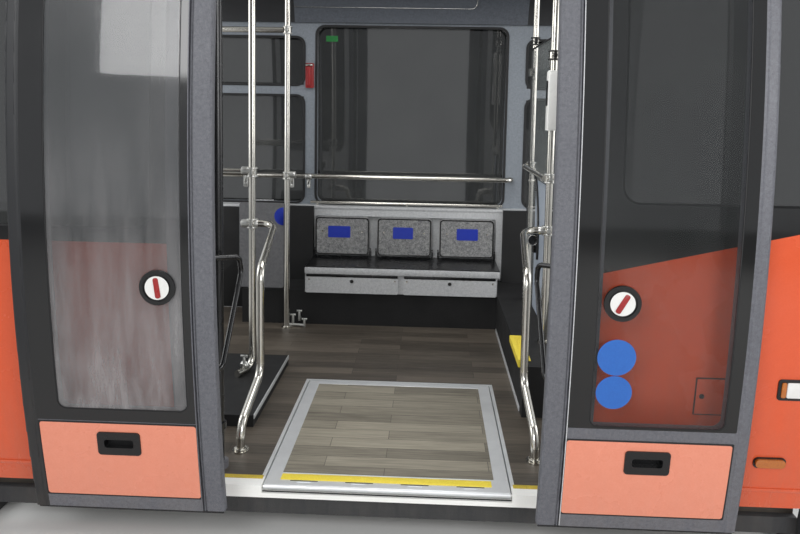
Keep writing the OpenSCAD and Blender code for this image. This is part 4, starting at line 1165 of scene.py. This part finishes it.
@dataclass(frozen=True)
class SeatDress:
    """Pieces of the three tip-up seats, and of the box and niche that carry them."""

    front: float = 2.094
    pitch: float = 0.407
    middle: float = -0.012
    seat_z: Span = (0.587, 0.835)
    half: float = 0.176
    stickers: tuple[Span, ...] = ((-0.512, -0.365), (-0.086, 0.045), (0.330, 0.468))
    sticker_z: Span = (0.702, 0.778)
    niche: Window = ((-0.6115, 0.5955), (0.5725, 0.8435))
    covers: tuple[Span, ...] = ((-0.605, -0.0325), (-0.0025, 0.567))
    grooves: tuple[Span, ...] = ((-0.600, -0.036), (0.001, 0.562))

    def dark_pieces(self) -> None:
        """Near-black sheet behind the rear screen, painted shade on the far wall, and dark strips of painted
        shade in the gap between the ledge and the covers.
        """
        # Painted shade: a near-black sheet over the far wall's lining behind the rear screen.
        flat_part = plate("rear_trim", (-1.4585, 2.1425, 0.2045), (-0.7965, 2.1465, 0.886), Axis.Y, 0.012, 0.0012)
        fit(flat_part, Extra.KICK)
        # Painted shade: dark strips in the gap between the bench's ledge and its covers.
        for i, (a, b) in enumerate(self.grooves):
            low, high = (a, 1.7918, 0.5125), (b, 1.7955, 0.5285)
            fit(plate(f"cover_groove_{i}", low, high, Axis.Y, 0.006, 0.0008), Slot.STEEL_BLACK)

    def seats(self) -> None:
        """Blank sticker, dark rim and two bolts on each seat."""
        depth = (self.front + 0.0015, self.front + 0.0039)
        for i, body in enumerate((Body.SEAT_LEFT, Body.SEAT_MIDDLE, Body.SEAT_RIGHT)):
            x = self.middle + (i - 1) * self.pitch
            (a, b), (low, high) = self.stickers[i], self.sticker_z
            seat = (x - self.half, x + self.half), self.seat_z
            low, high = (a, self.front - 0.0009, low), (b, self.front - 0.0001, high)
            fit(plate(f"seat_sticker_{i}", low, high, Axis.Y, 0.008), Extra.NAVY, body)
            rim = border(f"seat_rim_{i}", grown(seat, -0.0012), grown(seat, -0.0085), depth, 0.017, 0.021)
            fit(rim, Slot.STEEL_BLACK, body)
            for j, side in enumerate((-1, 1)):
                place = (x + side * 0.131, self.front - 0.001, 0.742)
                bolt = disc(f"seat_bolt_{i}_{j}", place, FACING_DOOR, 0.006, 0.003, 0.001, HEAD, FEW_SIDES)
                fit(bolt, Slot.STEEL, body)

    def beads(self) -> None:
        """Pale beads round the niche, along the ledge below the windows and along the bench's edge."""
        rim = border("niche_bead", self.niche, grown(self.niche, -0.008), (2.1425, 2.152), 0.014, 0.0195)
        soften(rim, 0.0015)
        fit(rim, Slot.LINING)
        ledge = plate("window_ledge_bead", (-1.455, 2.1415, 0.884), (1.455, 2.1462, 0.9002), Axis.Y, 0, 0.002)
        fit(ledge, Slot.LINING)
        lip = plate("bench_lip", (-0.609, 1.7905, 0.531), (0.585, 1.7932, 0.565), Axis.Y, 0, 0.001)
        fit(lip, Slot.LINING)

    def cover_screws(self) -> None:
        """Screws and a turn lock on each cover of the bench box."""
        for i, (a, b) in enumerate(self.covers):
            for j, x in enumerate((a + 0.022, b - 0.022)):
                place = (x, 1.7925, 0.494)
                name = f"cover_screw_{i}_{j}"
                fit(disc(name, place, FACING_DOOR, 0.006, 0.003, 0.0008, HEAD, FEW_SIDES), Slot.STEEL)
            place = ((a + b) / 2, 1.7918, 0.487)
            lock = disc(f"cover_lock_{i}", place, FACING_DOOR, 0.011, 0.004, 0.001, (0.004, 0.0015), 24)
            fit(lock, Slot.STEEL_BLACK)

    def build(self) -> None:
        """Fits every piece."""
        for step in (self.dark_pieces, self.seats, self.beads, self.cover_screws):
            step()


@dataclass(frozen=True)
class CabinDress:
    """Small pieces inside the cabin: signs, the hammer box, clamps, the knob and the cove's line."""

    cove: tuple[float, float, float] = (1.906, 2.07, 0.3)
    clamped: tuple[tuple[float, float, float, int], ...] = (
        (-0.712, 0.95, 0.98, 0), (-0.712, 0.95, 1.23, -1), (-0.711, 1.75, 1.137, 1), (-0.711, 1.75, 2.0, 0),
        (0.716, 0.95, 0.98, 0), (0.716, 0.95, 1.23, 0), (0.716, 0.95, 1.81, 0), (0.739, 1.70, 1.23, 0),
        (0.739, 1.70, 0.56, 0), (0.739, 1.70, 0.485, 0), (0.739, 1.70, 1.95, 0),
    )
    black_clamps: tuple[float, float] = (1.81, 1.95)
    feet: tuple[Point, ...] = (
        (-0.711, 1.75, 0.2102), (0.716, 0.95, 0.4402), (0.739, 1.70, 0.4402), (-0.572, 0.24, 0.2112),
        (0.572, 0.24, 0.2112),
    )
    fittings: tuple[tuple[float, float, float, float], ...] = (
        (-0.678, 1.78, 0.2, 0.272), (-0.645, 1.812, 0.226, 0.288), (-0.606, 1.77, 0.2, 0.25),
    )

    def window_seals(self) -> None:
        """Black rubber seals round the far windows, on their inner side."""
        for name, window in FAR_WINDOWS.items():
            (x0, x1), (z0, z1) = window
            outer = (x0 - 0.012, x1 + 0.012), (z0 - 0.009, z1 + 0.012)
            piece = border(f"inner_seal_{name}", outer, grown(window, -0.004), (2.2235, 2.2278), 0.05, 0.062)
            soften(piece, 0.001)
            fit(piece, Extra.SEAL)

    def hammer_box(self) -> None:
        """Red box of the emergency hammer on the pillar, with its handle and glass-breaking tip."""
        for name, low, high, corner, rim in (
            ("box", (-0.688, 2.205, 1.677), (-0.633, 2.2276, 1.840), 0.008, 0.002),
            ("grip", (-0.671, 2.187, 1.690), (-0.653, 2.2045, 1.815), 0.006, 0.003),
        ):
            fit(plate(f"hammer_{name}", low, high, Axis.Y, corner, rim), Extra.RED)
        fit(disc("hammer_head", (-0.662, 2.196, 1.826), ALONG, 0.008, 0.046, 0.002), Slot.STEEL)

    def signs(self) -> None:
        """Small blank film on the main window, and a blank disc cut off at the rear screen's edge."""
        face = 2.330
        film = plate("window_film", (-0.567, face, 1.990), (-0.487, face + 0.0006, 2.028), Axis.Y, 0.004)
        for vertex in film.data.vertices:
            vertex.co.y += 2 * WALL.middle - WALL.y(vertex.co.z, 0.0095) - face
        fit(film, Extra.GREEN)
        whole = disc("screen_disc", (-0.7315, 1.7394, 0.8895), FACING_DOOR, 0.0545, 0.001)
        beyond = plate("screen_disc_cut", (-0.7305, 1.72, 0.8), (-0.66, 1.76, 0.98), Axis.Y)
        fit(cut_out(whole, beyond), Extra.NAVY)

    def knob(self) -> None:
        """Round black knob on its bracket, and the curved black bar beside it on the partition."""
        low, high = (0.6885, 1.212, 0.815), (0.7118, 1.250, 0.925)
        fit(plate("partition_bracket", low, high, Axis.Y, 0.006, 0.002), Slot.STEEL_BLACK)
        x, z = 0.684, 0.887
        knob = disc("partition_knob", (x, 1.198, z), FACING_DOOR, 0.0265, 0.028, 0.003, (0.005, 0.006), 36)
        fit(knob, Slot.STEEL_BLACK)
        fit(ring("partition_knob_ring", (x, 1.184, z), FACING_DOOR, 0.0272, 0.0245, 0.003, 0.001), Extra.CAST)
        bends = ((1.34, 1.225), (1.29, 1.20), (1.235, 1.13), (1.195, 1.04), (1.172, 0.95), (1.165, 0.86),
                 (1.17, 0.79))
        fit(rod("partition_bar", [(0.7055, *bend) for bend in bends], 0.0062), Slot.STEEL_BLACK)

    def partition(self) -> None:
        """Rubber edging round the partition, the pale panel on its lower part, and its cast grips."""
        edging = plate("partition_edging", (0.7105, 0.9885, 0.4985), (0.7215, 1.6415, 1.9015), Axis.X, 0.01)
        hole = plate("partition_edging_hole", (0.70, 0.9945, 0.5045), (0.73, 1.6355, 1.8955), Axis.X, 0.01)
        fit(cut_out(edging, hole), Extra.SEAL)
        fit(plate("partition_film", (0.7108, 0.996, 0.506), (0.7119, 1.315, 1.19), Axis.X, 0.01), Extra.FILM)
        for i, z in enumerate((0.62, 1.30, 1.78)):
            low, high = (0.703, 0.966, z - 0.02), (0.729, 1.012, z + 0.02)
            fit(plate(f"partition_grip_{i}", low, high, Axis.X, 0.006, 0.003), Extra.CAST)

    def clamps(self) -> None:
        """Clamps where rails meet posts, each with two rings and a bolt, and some with a drilled lug."""
        for i, (x, y, z, lug) in enumerate(self.clamped):
            finish = Slot.STEEL_BLACK if z in self.black_clamps else Extra.CAST
            for j, level in enumerate((-0.019, 0.019)):
                fit(ring(f"clamp_ring_{i}_{j}", (x, y, z + level), UP, 0.0275, 0.0175, 0.008, 0.002), finish)
            low, high = (x - 0.009, y - 0.034, z - 0.014), (x + 0.009, y - 0.017, z + 0.014)
            fit(plate(f"clamp_ear_{i}", low, high, Axis.X, 0.005, 0.002), finish)
            bolt = disc(f"clamp_bolt_{i}", (x, y - 0.0265, z), ALONG, 0.006, 0.030, 0.001, (0.002, 0.002), 6)
            fit(bolt, Slot.STEEL)
            if lug:
                self.lug(i, x + lug * 0.030, y, z)
        self.lug(len(self.clamped), -0.652, 2.148, 1.088)

    def lug(self, number: int, x: float, y: float, z: float) -> None:
        """Drilled lug that hangs beside a clamp, with the sleeve round the rail above it.

        Args:
            number: The clamp's number.
            x: Place along the bus.
            y: Place across the bus.
            z: Height of the rail.
        """
        low, high = (x - 0.012, y - 0.006, z - 0.072), (x + 0.012, y + 0.006, z + 0.004)
        piece = plate(f"clamp_lug_{number}", low, high, Axis.Y, 0.006, 0.002)
        hole = disc(f"clamp_lug_hole_{number}", (x, y, z - 0.046), FACING_FAR, 0.005, 0.03)
        fit(cut_out(piece, hole), Extra.CAST)
        fit(disc(f"clamp_sleeve_{number}", (x, y, z + 0.006), ALONG, 0.021, 0.044, 0.004), Extra.CAST)

    def post_grips(self) -> None:
        """Cast grips at the elbows of the low rails, the clamp at a post's foot, and rings round the feet."""
        x, around = -0.7345, (-0.045, -0.115, -0.09)
        for name, *shape in (
            ("elbow_grip_rear", (-0.7235, 0.95, 0.979), ALONG, 0.021, 0.092, 0.014),
            ("elbow_grip_front", (0.694, 0.95, 0.979), ALONG, 0.020, 0.052, 0.006),
            ("post_foot_clamp", (x, 0.893, 0.29), around, 0.0235, 0.020, 0.003),
            ("post_foot_stem", (x, 0.880, 0.31), UP, 0.0065, 0.062, 0.001, PLAIN, FEW_SIDES),
            ("post_foot_bar", (x, 0.880, 0.340), ALONG, 0.0065, 0.034, 0.001, PLAIN, FEW_SIDES),
        ):
            fit(disc(name, *shape), Extra.CAST)
        for i, foot in enumerate(self.feet):
            fit(ring(f"foot_ring_{i}", foot, UP, 0.024, 0.0172, 0.008, 0.002), Slot.STEEL)

    def validator(self) -> None:
        """Card slot, rounded front and cap of the ticket box."""
        for name, finish, *shape in (
            ("slot", Slot.STEEL_BLACK, (0.6798, 0.881, 1.573), (0.6818, 0.927, 1.69), Axis.X, 0.008),
            ("front", Slot.WHITE, (0.6835, 0.8665, 1.464), (0.7485, 0.8735, 1.726), Axis.Y, 0.016, 0.003),
            ("cap", Slot.WHITE, (0.684, 0.876, 1.7302), (0.748, 0.930, 1.736), Axis.Z, 0.01, 0.002),
        ):
            fit(plate(f"validator_{name}", *shape), finish)

    def cove_line(self) -> None:
        """Thin silver line along the hatch in the cove, turning up at its front end."""
        y0, z0, radius = self.cove
        start, length, level, bend = -0.758, 1.150, 2.198, 0.037
        points = [(start + length * i / 13, level) for i in range(14)]
        for i in range(1, 9):
            turn = math.radians(90 * i / 8)
            points.append((start + length + bend * math.sin(turn), level + bend * (1 - math.cos(turn))))
        points.append((start + length + bend, 2.29))
        places = [(x, y0 + math.sqrt((radius - 0.007) ** 2 - (z - z0) ** 2), z) for x, z in points]
        fit(rod("cove_line", places, 0.0028), Extra.CHROME)

    def tees(self) -> None:
        """Small pipe fittings on the floor beside the rear post."""
        for i, (x, y, low, high) in enumerate(self.fittings):
            middle = (x, y, (low + high) / 2)
            stem = disc(f"tee_stem_{i}", middle, UP, 0.0075, high - low, 0.001, sides=FEW_SIDES)
            fit(stem, Extra.CAST)
            bar = disc(f"tee_bar_{i}", (x, y, high), ALONG, 0.0065, 0.032, 0.001, sides=FEW_SIDES)
            fit(bar, Extra.CAST)
        pipe = [(x, y, 0.2105) for x, y in ((-0.702, 1.776), (-0.678, 1.78), (-0.606, 1.77))]
        fit(rod("tee_pipe", pipe, 0.0095), Extra.CAST)
        stub = disc("tee_stub", (-0.645, 1.822, 0.240), FACING_FAR, 0.0085, 0.026, 0.001, sides=FEW_SIDES)
        fit(stub, Extra.CAST)

    def build(self) -> None:
        """Fits every piece."""
        for step in (self.window_seals, self.hammer_box, self.signs, self.knob, self.partition, self.clamps,
                     self.post_grips, self.validator, self.cove_line, self.tees):
            step()


@dataclass(frozen=True)
class WallDress:
    """Seals, lamps and trims on the outside of both walls, and the grey lining inside the near one."""

    end: float = 1.459
    inner: float = 0.0605
    flap: Window = ((1.0235, 1.1485), (0.5625, 0.6945))
    marker: Window = ((1.241, 1.347), (0.375, 0.415))

    def pane_seals(self) -> None:
        """Rubber lines round the panes of both walls."""
        for wall, windows in (("near", NEAR_WINDOWS), ("far", FAR_WINDOWS)):
            for name, window in windows.items():
                piece = border(f"pane_line_{wall}_{name}", grown(window, 0.0002), grown(window, -0.007),
                               (0.0006, 0.0029), 0.053, 0.06)
                fit_on_wall(piece, Extra.SEAL, wall == "far")

    def side_lamp(self) -> None:
        """Small clear lamp with an amber end, in a black surround on the front panel."""
        for name, low, high, corner, rim, finish in (
            ("base", (1.286, -0.004, 0.624), (1.384, 0.0002, 0.698), 0.012, 0.0015, Slot.STEEL_BLACK),
            ("amber", (1.296, -0.0085, 0.634), (1.3125, -0.003, 0.688), 0.006, 0.0025, Slot.AMBER),
            ("lens", (1.3135, -0.0085, 0.634), (1.363, -0.003, 0.688), 0.006, 0.0025, Slot.WHITE),
        ):
            fit_on_wall(plate(f"side_lamp_{name}", low, high, Axis.Y, corner, rim), finish)

    def cover_pieces(self) -> None:
        """Lock and joint line of the inspection cover, and the black seat round the amber lamp."""
        z = 0.63
        lock = disc("flap_lock", WALL.point(1.046, z, 0.0035), WALL.outward(z), 0.009, 0.002, 0.0006,
                    (0.003, 0.0008), 24)
        fit(lock, Slot.STEEL_BLACK)
        joint = border("flap_joint", self.flap, grown(self.flap, -0.005), (-0.0012, 0.0002), 0.002, 0.003)
        fit_on_wall(joint, Extra.SEAL)
        seat = border("marker_seat", self.marker, grown(self.marker, -0.0055), (-0.004, 0.0002), 0.011, 0.016)
        fit_on_wall(seat, Slot.STEEL_BLACK)

    def strips(self) -> None:
        """Dark seams along both walls, the drip rail, and a pressed ridge along each panel's foot."""
        end, door = self.end, 0.706
        for name, far in (("near", False), ("far", True)):
            for level, z0, z1 in (("roof", 2.5085, 2.5125), ("head", 2.2735, 2.2765)):
                seam = plate(f"{level}_seam_{name}", (-end, -0.0008, z0), (end, 0.0008, z1), Axis.Y)
                fit_on_wall(seam, Extra.SEAL, far)
        rail = plate("drip_rail", (-0.72, -0.010, 2.300), (0.72, 0.0003, 2.316), Axis.Y, 0, 0.003)
        fit_on_wall(rail, Extra.SEAL)
        for name, x0, x1 in (("rear", -end, -door), ("front", door, end), ("far", -end, end)):
            ridge = plate(f"ridge_{name}", (x0, -0.0045, 0.282), (x1, 0.001, 0.296), Axis.Y, 0, 0.0038)
            fit_on_wall(ridge, Slot.ORANGE, name == "far")

    def lining(self) -> None:
        """Grey lining beside and above the doorway, round the windows at both ends."""
        door, inner = 0.7045, self.inner
        for name, x in (("rear", (-self.end, -door)), ("front", (door, self.end))):
            depth = (inner, inner + 0.006)
            piece = border(f"inner_skin_{name}", (x, (0.206, 2.27)), NEAR_WINDOWS[name], depth, 0.06)
            fit_on_wall(piece, Slot.LINING)
        low, high = (-self.end, inner, 2.2955), (self.end, inner + 0.004, 2.449)
        strip = plate("inner_cantrail_near", low, high, Axis.Y)
        hole = plate("inner_cantrail_hole", (-1.001, -0.1, 2.2), (1.001, 0.2, 2.5), Axis.Y)
        fit_on_wall(cut_out(strip, hole), Slot.LINING)

    def build(self) -> None:
        """Fits every piece."""
        for step in (self.pane_seals, self.side_lamp, self.cover_pieces, self.strips, self.lining):
            step()


LEAVES = (
    LeafDress(-1, Body.LEAF_REAR, (-0.2285, 0.2055), (-0.149, 0.771), 8.0),
    LeafDress(1, Body.LEAF_FRONT, (-0.1855, 0.2425), (-0.108, 0.762), -30.0,
              ((-0.1133, 0.5842, 0.060), (-0.1141, 0.4667, 0.0565))),
)


@dataclass
class Bay:
    """The whole bay: the frame's own nodes with their finishes, and the pieces fitted to them."""

    frame: dict

    def dress_nodes(self) -> None:
        """Gives every CAD node the finish of its slot in the record."""
        for finish in FINISHES:
            MATERIALS[finish.slot] = finish.build()
        for subpart in self.frame["record"]["subparts"]:
            mesh = self.frame["nodes"][subpart["node"]].data
            mesh.materials.clear()
            mesh.materials.append(MATERIALS[OWN.get(subpart["node"], Slot(subpart["material_slot"]))])

    def fit_pieces(self) -> None:
        """Fits the pieces of every sub-assembly."""
        for part in (*LEAVES, SillDress(), SeatDress(), CabinDress(), WallDress()):
            part.build()
            LOG.info("finished %s", type(part).__name__)


def main() -> None:
    """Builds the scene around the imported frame."""
    logging.basicConfig(level=logging.INFO, format="%(name)s: %(message)s")
    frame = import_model()
    scene = bpy.context.scene
    scene.view_settings.view_transform = "Standard"
    Camera().build()
    studio = Studio()
    studio.build()
    bay = Bay(frame)
    bay.dress_nodes()
    bay.fit_pieces()
    studio.spare()


if __name__ == "__main__":
    main()
